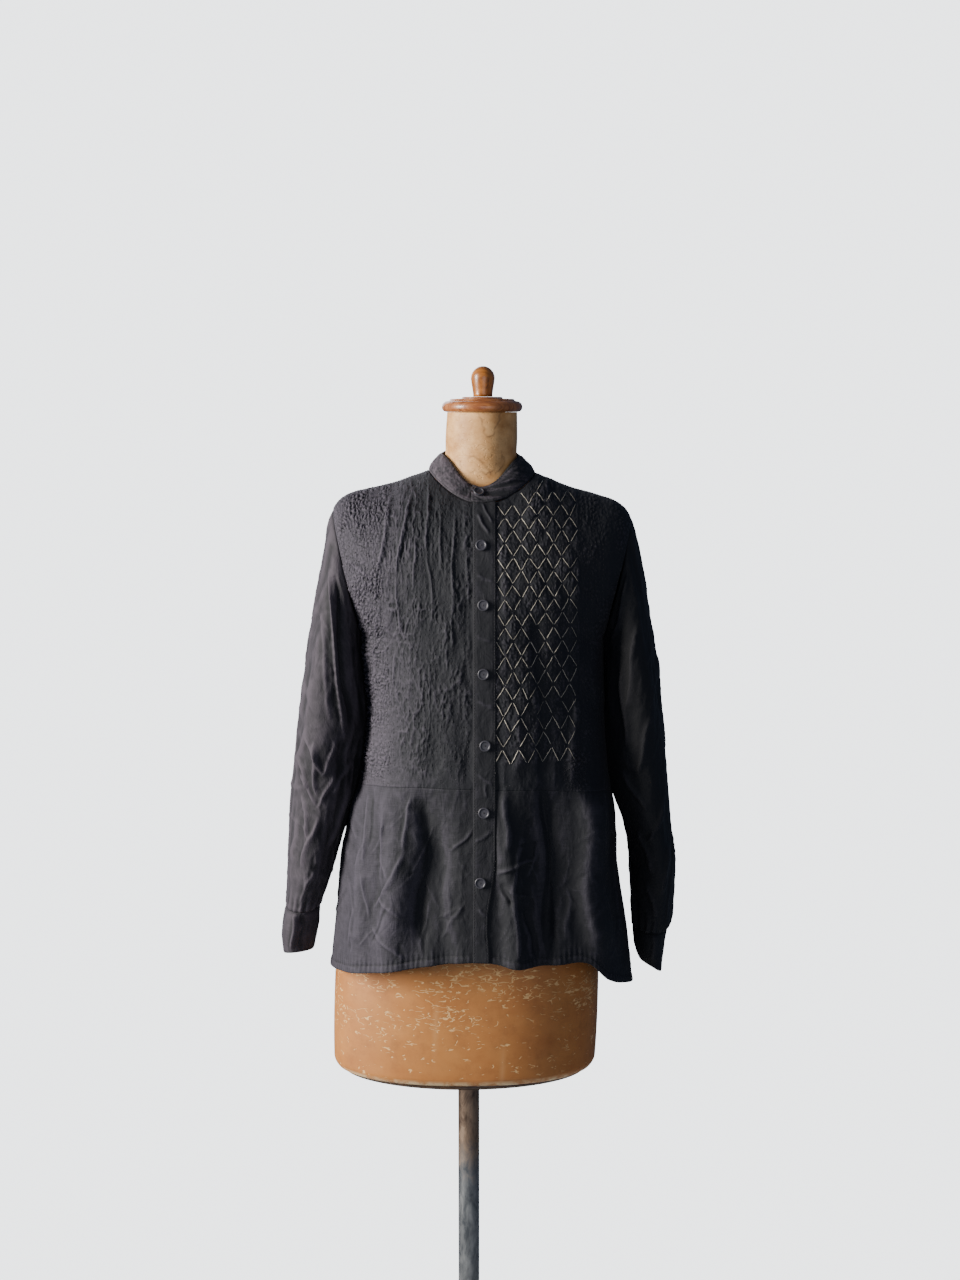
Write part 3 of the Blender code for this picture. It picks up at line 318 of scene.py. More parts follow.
def form_skin():
    """Aged caramel skin. The 'neck' attribute says where the neck is, and another says where water has marked
    it and where the neck's right side is darker."""
    material, tree, shader, where = new_material("aged_oiled_paper_skin")
    height = add(tree, "ShaderNodeSeparateXYZ", {0: where}).outputs["Z"]
    broad = scaled_noise(tree, where, (9.0, 9.0, 14.0), 5.0, 0.6)
    streaks = scaled_noise(tree, where, (110.0, 110.0, 5.0), 3.0, 0.6)
    brown = mixed(tree, ramp(tree, broad, 0.3, 0.7), "#9c5f2a", "#bb8043")
    brown = mixed(tree, ramp(tree, streaks, 0.35, 0.75, 0.0, 0.35), brown, "#b0743a")
    grime = scaled_noise(tree, where, 38.0, 6.0, 0.7)
    brown = mixed(tree, ramp(tree, grime, 0.5, 0.75, 0.0, 0.45), brown, "#7b4a22")
    # scratches: thin wandering lines, cut short, thick in some places only
    patches = scaled_noise(tree, where, (15.0, 15.0, 26.0), 2.0)
    busy = calculated(tree, "MULTIPLY", ramp(tree, patches, 0.40, 0.58), ramp(tree, height, 0.635, 0.690))
    scratches = None
    for turn, shift in ((0.1, 0.0), (0.75, 3.7), (-0.55, 8.1), (1.4, 12.9)):
        levels = []
        for scale in ((42.0, 42.0, 120.0), (85.0, 85.0, 110.0)):
            settings = {"Vector": where, "Rotation": (0.0, turn, 0.0), "Location": (shift, shift, shift)}
            way = add(tree, "ShaderNodeMapping", dict(settings, Scale=scale)).outputs[0]
            settings = {"Vector": way, "Scale": 1.0, "Detail": 1.0}
            levels.append(add(tree, "ShaderNodeTexNoise", settings).outputs["Fac"])
        off = calculated(tree, "ABSOLUTE", calculated(tree, "SUBTRACT", levels[0], 0.5), 0.0)
        kept = calculated(tree, "ADD", levels[1], ramp(tree, busy, 0.0, 1.0, -0.115, 0.052))
        some = calculated(tree, "MULTIPLY", ramp(tree, off, 0.017, 0.009), ramp(tree, kept, 0.553, 0.583))
        scratches = some if scratches is None else calculated(tree, "MAXIMUM", scratches, some)
    skin = mixed(tree, scratches, brown, "#d0a66e")
    worn_edge = ramp(tree, height, 0.6085, 0.6025)
    edge_noise = ramp(tree, grime, 0.42, 0.55)
    skin = mixed(tree, calculated(tree, "MULTIPLY", worn_edge, edge_noise), skin, "#dcbf90")
    seam = add(tree, "ShaderNodeAttribute", attribute_name="seam").outputs["Fac"]
    skin = mixed(tree, calculated(tree, "MULTIPLY", seam, 0.22), skin, "#d3a873")
    # the neck: paler, mottled, with brown water marks, and darker over its right side
    neck = add(tree, "ShaderNodeAttribute", attribute_name="neck").outputs["Fac"]
    stains_and_dark_side = add(tree, "ShaderNodeAttribute", attribute_name="stains_and_dark_side").outputs["Fac"]
    mottle = scaled_noise(tree, where, 45.0, 6.0, 0.68)
    cream = mixed(tree, ramp(tree, mottle, 0.35, 0.68), "#dfae72", "#b57f45")
    cream = mixed(tree, calculated(tree, "MULTIPLY", stains_and_dark_side, 0.75), cream, "#6b4521")
    skin = mixed(tree, neck, skin, cream)
    tree.links.new(skin, shader.inputs["Base Color"])
    rough = ramp(tree, grime, 0.3, 0.8, 0.50, 0.72)
    tree.links.new(rough, shader.inputs["Roughness"])
    chip = calculated(tree, "SUBTRACT", calculated(tree, "MULTIPLY", broad, 0.6), scratches)
    add_relief(tree, shader, 0.5, 0.0005, chip)
    return material


def varnished_wood(name, dark, light, coat):
    """Turned beech under varnish: grain rings cut across by the turning."""
    material, tree, shader, where = new_material(name)
    grain = scaled_noise(tree, where, (22.0, 260.0, 60.0), 4.0, 0.6, 0.3)
    pores = scaled_noise(tree, where, (60.0, 900.0, 160.0))
    shade = calculated(tree, "ADD", grain, ramp(tree, pores, 0.3, 0.7, -0.12, 0.12))
    tree.links.new(mixed(tree, ramp(tree, shade, 0.35, 0.7), dark, light), shader.inputs["Base Color"])
    shader.inputs["Roughness"].default_value = 0.36
    shader.inputs["Coat Weight"].default_value = coat
    shader.inputs["Coat Roughness"].default_value = 0.18
    return material


def weathered_steel():
    material, tree, shader, where = new_material("weathered_steel_pipe")
    height = add(tree, "ShaderNodeSeparateXYZ", {0: where}).outputs["Z"]
    blotch = scaled_noise(tree, where, (70.0, 70.0, 32.0), 6.0, 0.7, 0.6)
    grey = mixed(tree, ramp(tree, blotch, 0.35, 0.7), "#54585c", "#8d8f90")
    brown = mixed(tree, ramp(tree, blotch, 0.4, 0.6), "#5b4b40", "#8a7664")
    upper = calculated(tree, "ADD", height, ramp(tree, blotch, 0.3, 0.7, -0.03, 0.03))
    colour = mixed(tree, ramp(tree, upper, 0.44, 0.50), grey, brown)
    tree.links.new(colour, shader.inputs["Base Color"])
    tree.links.new(ramp(tree, blotch, 0.3, 0.7, 0.42, 0.65), shader.inputs["Roughness"])
    shader.inputs["Metallic"].default_value = 0.75
    add_relief(tree, shader, 0.3, 0.0004, blotch)
    return material


def painted_iron():
    material, tree, shader, where = new_material("painted_cast_iron")
    sand = scaled_noise(tree, where, 420.0, 4.0)
    dust = scaled_noise(tree, where, 14.0, 5.0, 0.65)
    colour = mixed(tree, ramp(tree, dust, 0.35, 0.75), "#232323", "#3c3a38")
    tree.links.new(colour, shader.inputs["Base Color"])
    add_relief(tree, shader, 0.35, 0.0004, sand)
    shader.inputs["Roughness"].default_value = 0.55
    return material


def plain_floor():
    material, tree, shader, where = new_material("plain_pale_floor")
    soft = scaled_noise(tree, where, 3.0, 3.0)
    tree.links.new(mixed(tree, soft, "#dcdcda", "#e6e6e4"), shader.inputs["Base Color"])
    shader.inputs["Roughness"].default_value = 0.8
    return material


resin = button_resin()
skin = form_skin()
cap_wood = varnished_wood("varnished_beech", "#824a28", "#b4733f", 0.35)
knob_wood = varnished_wood("varnished_beech_knob", "#7f4919", "#b5712f", 0.4)
board_wood = varnished_wood("stained_board", "#3a281a", "#553c28", 0.0)
steel = weathered_steel()
iron = painted_iron()
floor.data.materials.append(plain_floor())

# %% [markdown]
# ## The blouse's sizes
#
# The blouse hangs from the shoulders in rings. These are the same sizes and tables that the
# solids were made from, so every finer piece lies where its solid lies.

# %% Sizes of the blouse
BLOUSE_X = 0.017
TILT = 0.025
SQUARE = 2.4
CHEST_Z = 1.24
CHEST_STEP = 0.02
WAIST_SEAM_Z = 0.980
WAIST_SIDE_DROP = 0.020
NECK_HALF_WIDTH = 0.0665
NECK_FRONT = 0.073
NECK_BACK = 0.056
NECK_SIDE_Z = 1.357
NECK_FRONT_DROP = 0.036
NECK_BACK_RISE = 0.016
NECK_SHARE = 0.40
LEAVE_FALL = 0.15
LEAVE_NECK_FALL = 0.9
LEAVE_SIDE = 0.25
EGG_HALF_WIDTH = 0.160
EGG_HALF_DEPTH = 0.125
EGG_SHOULDER = 0.105
COLLAR_X = 0.0155
COLLAR_HALF_WIDTH = 0.0488
COLLAR_FRONT = 0.053
COLLAR_BACK = 0.0505
COLLAR_SIDE_Z = 1.378
COLLAR_FRONT_DROP = 0.039
COLLAR_NOTCH = 3.2
COLLAR_BACK_RISE = 0.018
COLLAR_FIRST = -8.0
COLLAR_LAST = 371.0
COLLAR_LAP_FIRST = 325.0
COLLAR_LAP_LENGTH = 22.0
COLLAR_BOW = 0.0012
ARMHOLE_OUT = 0.168
ARMHOLE_Z = 1.230
ARMHOLE_LEAN = 0.018
ARMHOLE_HALF_HEIGHT = 0.075
ARMHOLE_FRONT = 0.062
ARMHOLE_BACK = 0.066
BAND_LEFT_X = 0.0060
BAND_OUT = 0.0026
BAND_TOP_DROP = 0.012
RIGHT_FRONT_START = -0.0085
LEFT_FRONT_START = -0.0073
LAP = 0.0022
FOLD_FADE = 0.09


def table(names, *rows):
    """A short table as one array for each named column."""
    return dict(zip(names.split(), np.array(rows, float).T))


SHOULDER = table(
    "out height",
    (0.0665, 1.3570), (0.0840, 1.3505), (0.1150, 1.3395), (0.1460, 1.3315),
    (0.1640, 1.3260), (0.1780, 1.3165), (0.1860, 1.3050),
)
BODY = table(
    "height right left front back",
    (0.700, 0.194, 0.193, 0.148, 0.132),
    (0.764, 0.188, 0.186, 0.144, 0.128),
    (0.804, 0.184, 0.180, 0.142, 0.126),
    (0.849, 0.180, 0.173, 0.139, 0.122),
    (0.879, 0.177, 0.169, 0.137, 0.119),
    (0.908, 0.171, 0.169, 0.136, 0.117),
    (0.940, 0.164, 0.167, 0.134, 0.114),
    (0.966, 0.154, 0.162, 0.133, 0.112),
    (1.018, 0.146, 0.156, 0.131, 0.110),
    (1.069, 0.144, 0.153, 0.129, 0.110),
    (1.120, 0.149, 0.1515, 0.127, 0.112),
    (1.155, 0.150, 0.150, 0.126, 0.113),
    (1.200, 0.150, 0.150, 0.122, 0.112),
    (1.240, 0.150, 0.150, 0.114, 0.108),
)
HEM = table(
    "angle height",
    (-180, 0.731), (-150, 0.729), (-120, 0.724), (-90, 0.726), (-62, 0.737), (-42, 0.749),
    (-22, 0.763), (0, 0.770), (18, 0.763), (36, 0.766), (46, 0.765), (54, 0.742), (70, 0.725),
    (90, 0.714), (120, 0.719), (150, 0.727), (180, 0.731),
)
BODY_FOLDS = (
    (-58, 13, 0.0060, 0.985, 0.600, 10),
    (-37, 10, 0.0070, 0.975, 0.600, -18),
    (-20, 9, -0.0060, 0.980, 0.620, 12),
    (11, 7, 0.0070, 0.985, 0.600, 22),
    (25, 9, -0.0080, 0.990, 0.620, 12),
    (52, 15, 0.0090, 1.020, 0.600, 12),
    (-50, 16, -0.0030, 1.200, 1.000, 0),
    (44, 14, -0.0030, 1.180, 1.000, 0),
    (112, 12, 0.0070, 1.080, 0.600, -20),
    (132, 11, -0.0060, 1.150, 0.620, -14),
    (152, 13, 0.0080, 1.120, 0.600, 12),
    (-176, 14, -0.0060, 1.060, 0.620, 8),
    (-156, 12, 0.0090, 1.140, 0.600, -12),
    (-134, 11, -0.0060, 1.100, 0.620, 12),
    (-114, 12, 0.0060, 1.020, 0.600, 16),
)
BAND_EDGE = table(
    "height x",
    (0.700, 0.0265), (0.775, 0.0260), (0.822, 0.0240), (0.880, 0.0320), (0.920, 0.0335),
    (1.400, 0.0335),
)

# %% Work out any point of the blouse's body


def ease(share):
    """0 to 1, level at both ends."""
    share = np.clip(share, 0.0, 1.0)
    return share * share * (3.0 - 2.0 * share)


def read(rows, key, place, column):
    """A column of the table at places along the key column, on a smooth curve."""
    keys, values = rows[key], rows[column]
    last = len(keys) - 1
    before = np.maximum(np.arange(last + 1) - 1, 0)
    after = np.minimum(np.arange(last + 1) + 1, last)
    slopes = (values[after] - values[before]) / (keys[after] - keys[before])
    place = np.clip(place, keys[0], keys[-1])
    at = np.clip(np.searchsorted(keys, place, side="right") - 1, 0, last - 1)
    span = keys[at + 1] - keys[at]
    t = (place - keys[at]) / span
    return (
        (2 * t**3 - 3 * t**2 + 1) * values[at]
        + (t**3 - 2 * t**2 + t) * span * slopes[at]
        + (3 * t**2 - 2 * t**3) * values[at + 1]
        + (t**3 - t**2) * span * slopes[at + 1]
    )


def points(x, y, z):
    return np.stack(np.broadcast_arrays(x, y, z), axis=-1)


def unit(vectors):
    return vectors / np.maximum(np.linalg.norm(vectors, axis=-1, keepdims=True), 1e-12)


def tilted(p):
    """The level lines fall a little towards the wearer's left."""
    return points(p[..., 0], p[..., 1], p[..., 2] - TILT * (p[..., 0] - BLOUSE_X))


def outward(p):
    up = np.maximum(p[..., 2] - CHEST_Z, 0.0)
    x = (p[..., 0] - BLOUSE_X) / EGG_HALF_WIDTH**2
    return unit(points(x, p[..., 1] / EGG_HALF_DEPTH**2, up / EGG_SHOULDER**2))


def bump(offset):
    return np.where(np.abs(offset) < 1.0, np.cos(offset * math.pi / 2) ** 2, 0.0)


def peak(distance, width):
    """1 at no distance, fading to 0 over about twice the width."""
    return np.exp(-((distance / width) ** 2))


def angle_round(p):
    return np.degrees(np.arctan2(p[..., 0] - BLOUSE_X, -p[..., 1]))


def fold_rise(p):
    """How far the largest folds carry the cloth out."""
    angle, rise = angle_round(p), 0.0
    for centre, half_width, height, top, bottom, drift in BODY_FOLDS:
        off = (angle - centre - drift * (top - p[..., 2]) + 180.0) % 360.0 - 180.0
        fade = ease((top - p[..., 2]) / FOLD_FADE) * ease((p[..., 2] - bottom) / FOLD_FADE)
        rise = rise + height * fade * bump(off / half_width)
    return rise


def armhole(side, face, turn):
    depth = ARMHOLE_FRONT if face > 0 else ARMHOLE_BACK
    x = BLOUSE_X + side * (ARMHOLE_OUT + ARMHOLE_LEAN * np.cos(turn))
    return points(x, -face * depth * np.sin(turn), ARMHOLE_Z + ARMHOLE_HALF_HEIGHT * np.cos(turn))


def neckline(side, face, turn):
    depth = NECK_FRONT if face > 0 else NECK_BACK
    rise = -NECK_FRONT_DROP if face > 0 else NECK_BACK_RISE
    x = BLOUSE_X + side * NECK_HALF_WIDTH * np.sin(turn)
    return points(x, -face * depth * np.cos(turn), NECK_SIDE_Z + rise * np.cos(turn) ** 2)


def ring_point(side, face, share, height, start):
    """A point of the hanging rings. share runs from 0 at the centre to 1 at the edge."""
    depth = read(BODY, "height", height, "front" if face > 0 else "back")
    cosine = np.clip((height - ARMHOLE_Z) / ARMHOLE_HALF_HEIGHT, -1.0, 1.0)
    edge = armhole(side, face, np.arccos(cosine))
    out = np.abs(edge[..., 0] - BLOUSE_X)
    beside = out / (1.0 - (np.abs(edge[..., 1]) / depth) ** SQUARE) ** (1.0 / SQUARE)
    above = height > ARMHOLE_Z - ARMHOLE_HALF_HEIGHT
    half_width = np.where(above, beside, read(BODY, "height", height, "right" if side < 0 else "left"))
    last = np.where(above, np.arcsin((out / beside) ** (SQUARE / 2)), math.pi / 2)
    reach = np.sin(share * last) ** (2 / SQUARE)
    x = start * (1.0 - reach) + side * half_width * reach
    y = -face * depth * np.maximum(np.cos(share * last), 0.0) ** (2 / SQUARE)
    return points(BLOUSE_X + x, y, height)


def waist_height(share):
    return WAIST_SEAM_Z - WAIST_SIDE_DROP * share**2


def top_edge(side, face, share, start):
    """The neckline and then the shoulder seam, and the way the cloth leaves it."""
    first = math.asin(side * start / NECK_HALF_WIDTH)
    turn = first + (math.pi / 2 - first) * np.minimum(share / NECK_SHARE, 1.0)
    fall = LEAVE_FALL + LEAVE_NECK_FALL * np.cos(turn)
    neck_leave = unit(points(side * LEAVE_SIDE * np.sin(turn), -face, -fall))
    along = np.clip((share - NECK_SHARE) / (1.0 - NECK_SHARE), 0.0, 1.0)
    out = SHOULDER["out"][0] + (SHOULDER["out"][-1] - SHOULDER["out"][0]) * along
    seam = points(BLOUSE_X + side * out, 0.0, read(SHOULDER, "out", out, "height"))
    seam_leave = unit(points(side * LEAVE_SIDE * (1.0 - along), -face, -LEAVE_FALL))
    on_neck = (share < NECK_SHARE)[..., None]
    point = np.where(on_neck, neckline(side, face, turn), seam)
    return point, np.where(on_neck, neck_leave, seam_leave)


def shoulder_point(side, face, share, drop, start):
    top, leave = top_edge(side, face, share, start)
    low = ring_point(side, face, share, np.full_like(share, CHEST_Z), start)
    under = ring_point(side, face, share, np.full_like(share, CHEST_Z - CHEST_STEP), start)
    length = np.linalg.norm(low - top, axis=-1, keepdims=True)
    d = drop[..., None]
    return (
        (2 * d**3 - 3 * d**2 + 1) * top
        + (d**3 - 2 * d**2 + d) * length * leave
        + (3 * d**2 - 2 * d**3) * low
        + (d**3 - d**2) * length * unit(under - low)
    )


def panel_point(side, face, share, drop, start=0.0):
    """Points of the body. drop runs from 0 at the neckline or shoulder seam to 1 at the
    chest, 2 at the waist seam and 3 at the hem."""
    share, drop = np.broadcast_arrays(np.asarray(share, float), np.asarray(drop, float))
    over = np.clip(drop, 0.0, 1.0)
    shoulder = shoulder_point(side, face, share, over, start)
    last = math.acos((CHEST_Z - ARMHOLE_Z) / ARMHOLE_HALF_HEIGHT)
    edge = shoulder_point(side, face, np.ones_like(share), over, start)
    shoulder = shoulder + (armhole(side, face, over * last) - edge) * ease(2.0 * share - 1.0)[..., None]
    waist = waist_height(share)
    hem = read(HEM, "angle", angle_round(ring_point(side, face, share, waist, start)), "height")
    chest = CHEST_Z + (waist - CHEST_Z) * np.clip(drop - 1.0, 0.0, 1.0)
    low = waist + (hem - waist) * np.clip(drop - 2.0, 0.0, 1.0)
    hanging = ring_point(side, face, share, np.where(drop <= 2.0, chest, low), start)
    point = np.where((drop < 1.0)[..., None], shoulder, hanging)
    return tilted(point + outward(point) * fold_rise(point)[..., None])


corner = panel_point(-1, 1, np.array([1.0]), np.array([3.0]))[0]
print("side of the hem:", corner.round(4))

# %% [markdown]
# ## From a grid of points to a thin shell of cloth
#
# Each cloth piece starts as a grid of points on the solid's surface. Relief moves the points
# along the surface's own normal, and a second grid just inside closes the wall. The UV map holds real
# distances along the cloth, and the relief is kept as an attribute, which lets the material make the high
# places lighter, as rubbed wear, and the hollows darker, as painted shade.

# %% Helpers for grids, relief and shells
SHEET = 0.0009
SEAM_DEPTH = 0.0008
SEAM_WIDTH = 0.0022
WEAR_AND_SHADE_RELIEF = 0.0009
INNER_STEP = 3
CREASE_WIDTH = 0.8
CREASE_HEIGHT = 1.25


def soft_noise(x, y, seed):
    """A smooth random swell between -1 and 1, with cells one unit wide."""
    values = np.random.default_rng(seed).uniform(-1.0, 1.0, (64, 64))
    i, j = np.floor(x).astype(int), np.floor(y).astype(int)
    s, t = ease(x - i), ease(y - j)
    low = values[i % 64, j % 64] * (1 - s) + values[(i + 1) % 64, j % 64] * s
    high = values[i % 64, (j + 1) % 64] * (1 - s) + values[(i + 1) % 64, (j + 1) % 64] * s
    return low * (1 - t) + high * t


def pebbles(x, z, width, height, seed):
    """Rounded lumps of about the given size, 0 in the creases between them and 1 on top."""
    random = np.random.default_rng(seed)
    shift_x, shift_z = random.uniform(-0.42, 0.42, (2, 64, 64))
    x, z = x / width, z / height
    i, j = np.floor(x).astype(int), np.floor(z).astype(int)
    first, second = np.full(x.shape, 9.0), np.full(x.shape, 9.0)
    for a in (-1, 0, 1):
        for b in (-1, 0, 1):
            cell = (i + a) % 64, (j + b) % 64
            away = np.hypot(x - i - a - 0.5 - shift_x[cell], z - j - b - 0.5 - shift_z[cell])
            second = np.minimum(second, np.maximum(first, away))
            first = np.minimum(first, away)
    return ease((second - first) / 0.62)


def near(values, reach, tube, how):
    """Combines each value with its neighbours up to a reach away, such as their minimum."""
    for axis in (0, 1):
        size = values.shape[axis]
        moved = []
        for step in range(-reach, reach + 1):
            place = np.arange(size) + step
            place = place % size if tube and axis == 1 else np.clip(place, 0, size - 1)
            moved.append(np.take(values, place, axis=axis))
        values = how(moved, axis=0)
    return values


def grid_normals(p, tube=False):
    """The grid's own normals, turned to face out of the blouse."""
    if tube:
        wide = np.concatenate([p[:, -1:], p, p[:, :1]], axis=1)
        across = (wide[:, 2:] - wide[:, :-2]) / 2
    else:
        across = np.gradient(p, axis=1)
    normals = unit(np.cross(across, np.gradient(p, axis=0)))
    middle = p.mean(axis=(0, 1)) if tube else np.array([BLOUSE_X, 0.0, 1.0])
    facing = p - middle
    facing[..., 2] = np.where(tube, 0.0, np.maximum(p[..., 2] - CHEST_Z, 0.0))
    return normals * np.sign((normals * facing).sum(axis=(0, 1, 2)))


def distances(p, tube=False):
    """Distances along the cloth, across and down each grid line."""
    wide = np.concatenate([p, p[:, :1]], axis=1) if tube else p
    steps = np.linalg.norm(np.diff(wide, axis=1), axis=2)
    across = np.concatenate([np.zeros((len(p), 1)), np.cumsum(steps, axis=1)], axis=1)
    steps = np.linalg.norm(np.diff(wide, axis=0), axis=2)
    down = np.concatenate([np.zeros((1, wide.shape[1])), np.cumsum(steps, axis=0)], axis=0)
    return across, down


def seam_groove(distance):
    """The dip beside a sewn edge."""
    return -SEAM_DEPTH * peak(distance, SEAM_WIDTH)


def creased(x, z, creases):
    """Soft ridges, or troughs where the height is negative, each along a line from
    (x1, z1) to (x2, z2), with its half width, height and bow to one side."""
    rise = np.zeros_like(x)
    for x1, z1, x2, z2, half_width, height, *bow in creases:
        dx, dz = x2 - x1, z2 - z1
        length = math.hypot(dx, dz)
        t = ((x - x1) * dx + (z - z1) * dz) / length**2
        off = ((x - x1) * dz - (z - z1) * dx) / length
        off = off - (bow[0] if bow else 0.0) * 4 * t * (1 - t)
        off = off + 0.25 * half_width * np.sin(9.0 * t + 40.0 * x1)
        fade = ease(t / 0.25 + 0.15) * ease((1 - t) / 0.25 + 0.15)
        fade = np.where((t > -0.04) & (t < 1.04), fade, 0.0)
        skew = np.where(off > 0, 0.65, 1.35) * CREASE_WIDTH
        rise += CREASE_HEIGHT * height * fade * peak(off, half_width * skew)
    return rise


def finished(name, mesh):
    """The mesh as a smooth object in the scene."""
    mesh.shade_smooth()
    mesh.calc_loop_triangles()
    print(f"{name}: {len(mesh.loop_triangles)} triangles")
    return linked(name, mesh)


def shell(name, base, normals, rise, material, tube=False, inner=None):
    """A closed thin wall. Its outer side is the base moved out by the relief. Its inner
    side has fewer points and lies under the lowest relief near each. Gives the object, and
    the grid of its outer side with the normals there."""
    outer = base + normals * rise[..., None]
    if inner is None:
        inner = near(rise, INNER_STEP, tube, np.min) - SHEET
    inside = (base + normals * inner[..., None])[::INNER_STEP, ::INNER_STEP]
    u, v = distances(outer, tube)

    def numbered(first, rows, columns):
        index = first + np.arange(rows * columns).reshape(rows, columns)
        return np.concatenate([index, index[:, :1]], axis=1) if tube else index

    def corners(grid):
        parts = grid[:-1, :-1], grid[1:, :-1], grid[1:, 1:], grid[:-1, 1:]
        return np.stack([part.ravel() for part in parts], axis=1)

    fine = numbered(0, *rise.shape)
    coarse = numbered(rise.size, *inside.shape[:2])
    pick = np.s_[::INNER_STEP, ::INNER_STEP]
    faces = corners(fine).tolist() + corners(coarse)[:, ::-1].tolist()
    us = [corners(u).ravel(), corners(u[pick])[:, ::-1].ravel()]
    vs = [corners(v).ravel(), corners(v[pick])[:, ::-1].ravel()]
    rims = [np.s_[0, :], np.s_[-1, :]] + ([] if tube else [np.s_[:, 0], np.s_[:, -1]])
    for line in rims:
        far, steps = coarse[line], np.arange(len(coarse[line]) - 1) * INNER_STEP
        spread = steps[:, None] + np.arange(INNER_STEP + 1)
        close = [far[1:, None], far[:-1, None]]
        faces += np.concatenate([fine[line][spread], *close], axis=1).tolist()
        for flat, grid in ((us, u), (vs, v)):
            values = grid[line][spread]
            flat.append(np.concatenate([values, values[:, -1:], values[:, :1]], axis=1).ravel())
    mesh = bpy.data.meshes.new(name)
    mesh.from_pydata(np.concatenate([outer.reshape(-1, 3), inside.reshape(-1, 3)]).tolist(), [], faces)
    uv = np.stack([np.concatenate(us), np.concatenate(vs)], axis=1)
    mesh.uv_layers.new(name="cut").data.foreach_set("uv", uv.ravel().astype(np.float32))
    # The relief's level, which the material turns into rubbed wear on the ridges and painted shade in the
    # hollows.
    level = np.clip((rise - near(rise, 5, tube, np.mean)) / WEAR_AND_SHADE_RELIEF, -1.0, 1.0)
    level = np.concatenate([level.ravel(), level[pick].ravel()]).astype(np.float32)
    mesh.attributes.new("rise", "FLOAT", "POINT").data.foreach_set("value", level)
    build = bmesh.new()
    build.from_mesh(mesh)
    bmesh.ops.recalc_face_normals(build, faces=build.faces)
    build.to_mesh(mesh)
    build.free()
    mesh.materials.append(material)
    return finished(name, mesh), (outer, normals)


def hand_over(obj, slot, *nodes):
    """The piece rides on the part and stands for its solids, which are hidden. The slot is not used."""
    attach(obj, "root")
    if nodes:
        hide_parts(*nodes)
    return obj


# %% [markdown]
# ## The fronts: dark quilting above, plain cotton below
#
# The wearer's right upper front is covered with dark quilting. Near the band it pulls the
# cotton into upright wavy ridges. Towards the armhole it is knotted like bark. The wearer's
# left front has a plainer ground, pulled in along a lattice of pale stitches. The larger ridges are listed
# one by one and the small ones follow noise that is stretched upright. One
# relief for each front runs on over the waist seam, into the plain cotton down to the hem.

# %% Relief of both fronts, from the shoulder to the hem
RIGHT_UPPER_CREASES = (
    (-0.015, 1.311, -0.018, 1.205, 0.0022, 0.0016, 0.002),
    (-0.018, 1.215, -0.019, 1.149, 0.0022, 0.0008, 0.001),
    (-0.047, 1.341, -0.050, 1.262, 0.0024, 0.0021, 0.001),
    (-0.050, 1.262, -0.042, 1.180, 0.0022, 0.0012, -0.002),
    (-0.069, 1.330, -0.086, 1.239, 0.0026, 0.0021, 0.002),
    (-0.086, 1.239, -0.078, 1.160, 0.0024, 0.0012, 0.003),
    (-0.095, 1.332, -0.109, 1.239, 0.0030, 0.0021, -0.001),
    (-0.107, 1.205, -0.114, 1.103, 0.0026, 0.0013, 0.002),
    (-0.087, 1.149, -0.093, 1.081, 0.0022, 0.0008),
    (-0.146, 1.251, -0.114, 1.228, 0.0024, 0.0015),
    (-0.081, 1.177, -0.104, 1.137, 0.0022, 0.0007),
    (-0.002, 1.307, 0.000, 1.194, 0.0020, 0.0009),
    (-0.027, 1.194, -0.022, 1.110, 0.0022, 0.0007, 0.002),
    (-0.009, 1.137, -0.013, 1.060, 0.0022, 0.0005, -0.001),
    (-0.063, 1.081, -0.069, 1.023, 0.0022, 0.0007),
    (-0.121, 1.149, -0.128, 1.058, 0.0030, 0.0012, 0.002),
    (-0.114, 1.058, -0.119, 0.996, 0.0030, 0.0012),
    (-0.033, 1.325, -0.032, 1.240, 0.0020, 0.0012, 0.001),
    (-0.060, 1.300, -0.066, 1.215, 0.0022, 0.0009, 0.001),
)
LEFT_UPPER_CREASES = (
    (0.081, 1.194, 0.095, 0.979, 0.0120, -0.0045),
    (0.128, 1.103, 0.124, 0.979, 0.0080, 0.0035),
    (0.044, 1.307, 0.042, 1.171, 0.0080, 0.0010),
    (0.150, 1.180, 0.156, 1.060, 0.0120, 0.0020),
    (0.110, 1.239, 0.117, 1.149, 0.0080, -0.0015),
    (0.062, 1.090, 0.058, 0.990, 0.0070, 0.0016),
)
RIGHT_LOWER_CREASES = (
    (-0.099, 0.948, -0.105, 0.863, 0.0030, 0.0016),
    (-0.068, 0.971, -0.077, 0.905, 0.0026, 0.0018, 0.002),
    (-0.077, 0.905, -0.116, 0.827, 0.0028, 0.0018, -0.004),
    (-0.094, 0.990, -0.100, 0.772, 0.0180, 0.0055),
    (-0.049, 0.985, -0.053, 0.775, 0.0200, -0.0085),
    (-0.130, 0.929, -0.140, 0.772, 0.0080, 0.0020),
    (-0.028, 0.939, -0.016, 0.784, 0.0110, 0.0022, 0.004),
    (-0.022, 0.905, 0.008, 0.934, 0.0020, 0.0014, 0.002),
    (-0.110, 0.845, -0.080, 0.823, 0.0022, 0.0016),
    (-0.140, 0.827, -0.148, 0.775, 0.0020, 0.0013),
    (-0.118, 0.808, -0.076, 0.772, 0.0024, 0.0017, 0.003),
    (-0.092, 0.839, -0.116, 0.787, 0.0022, -0.0013),
    (-0.046, 0.845, -0.060, 0.784, 0.0028, 0.0010),
    (-0.004, 0.845, -0.034, 0.796, 0.0026, 0.0010),
    (-0.123, 0.966, -0.128, 0.881, 0.0020, 0.0013),
    (-0.116, 0.966, -0.119, 0.905, 0.0018, -0.0009),
    (-0.108, 0.900, -0.092, 0.868, 0.0020, 0.0012),
    (-0.131, 0.870, -0.120, 0.815, 0.0020, 0.0013),
)
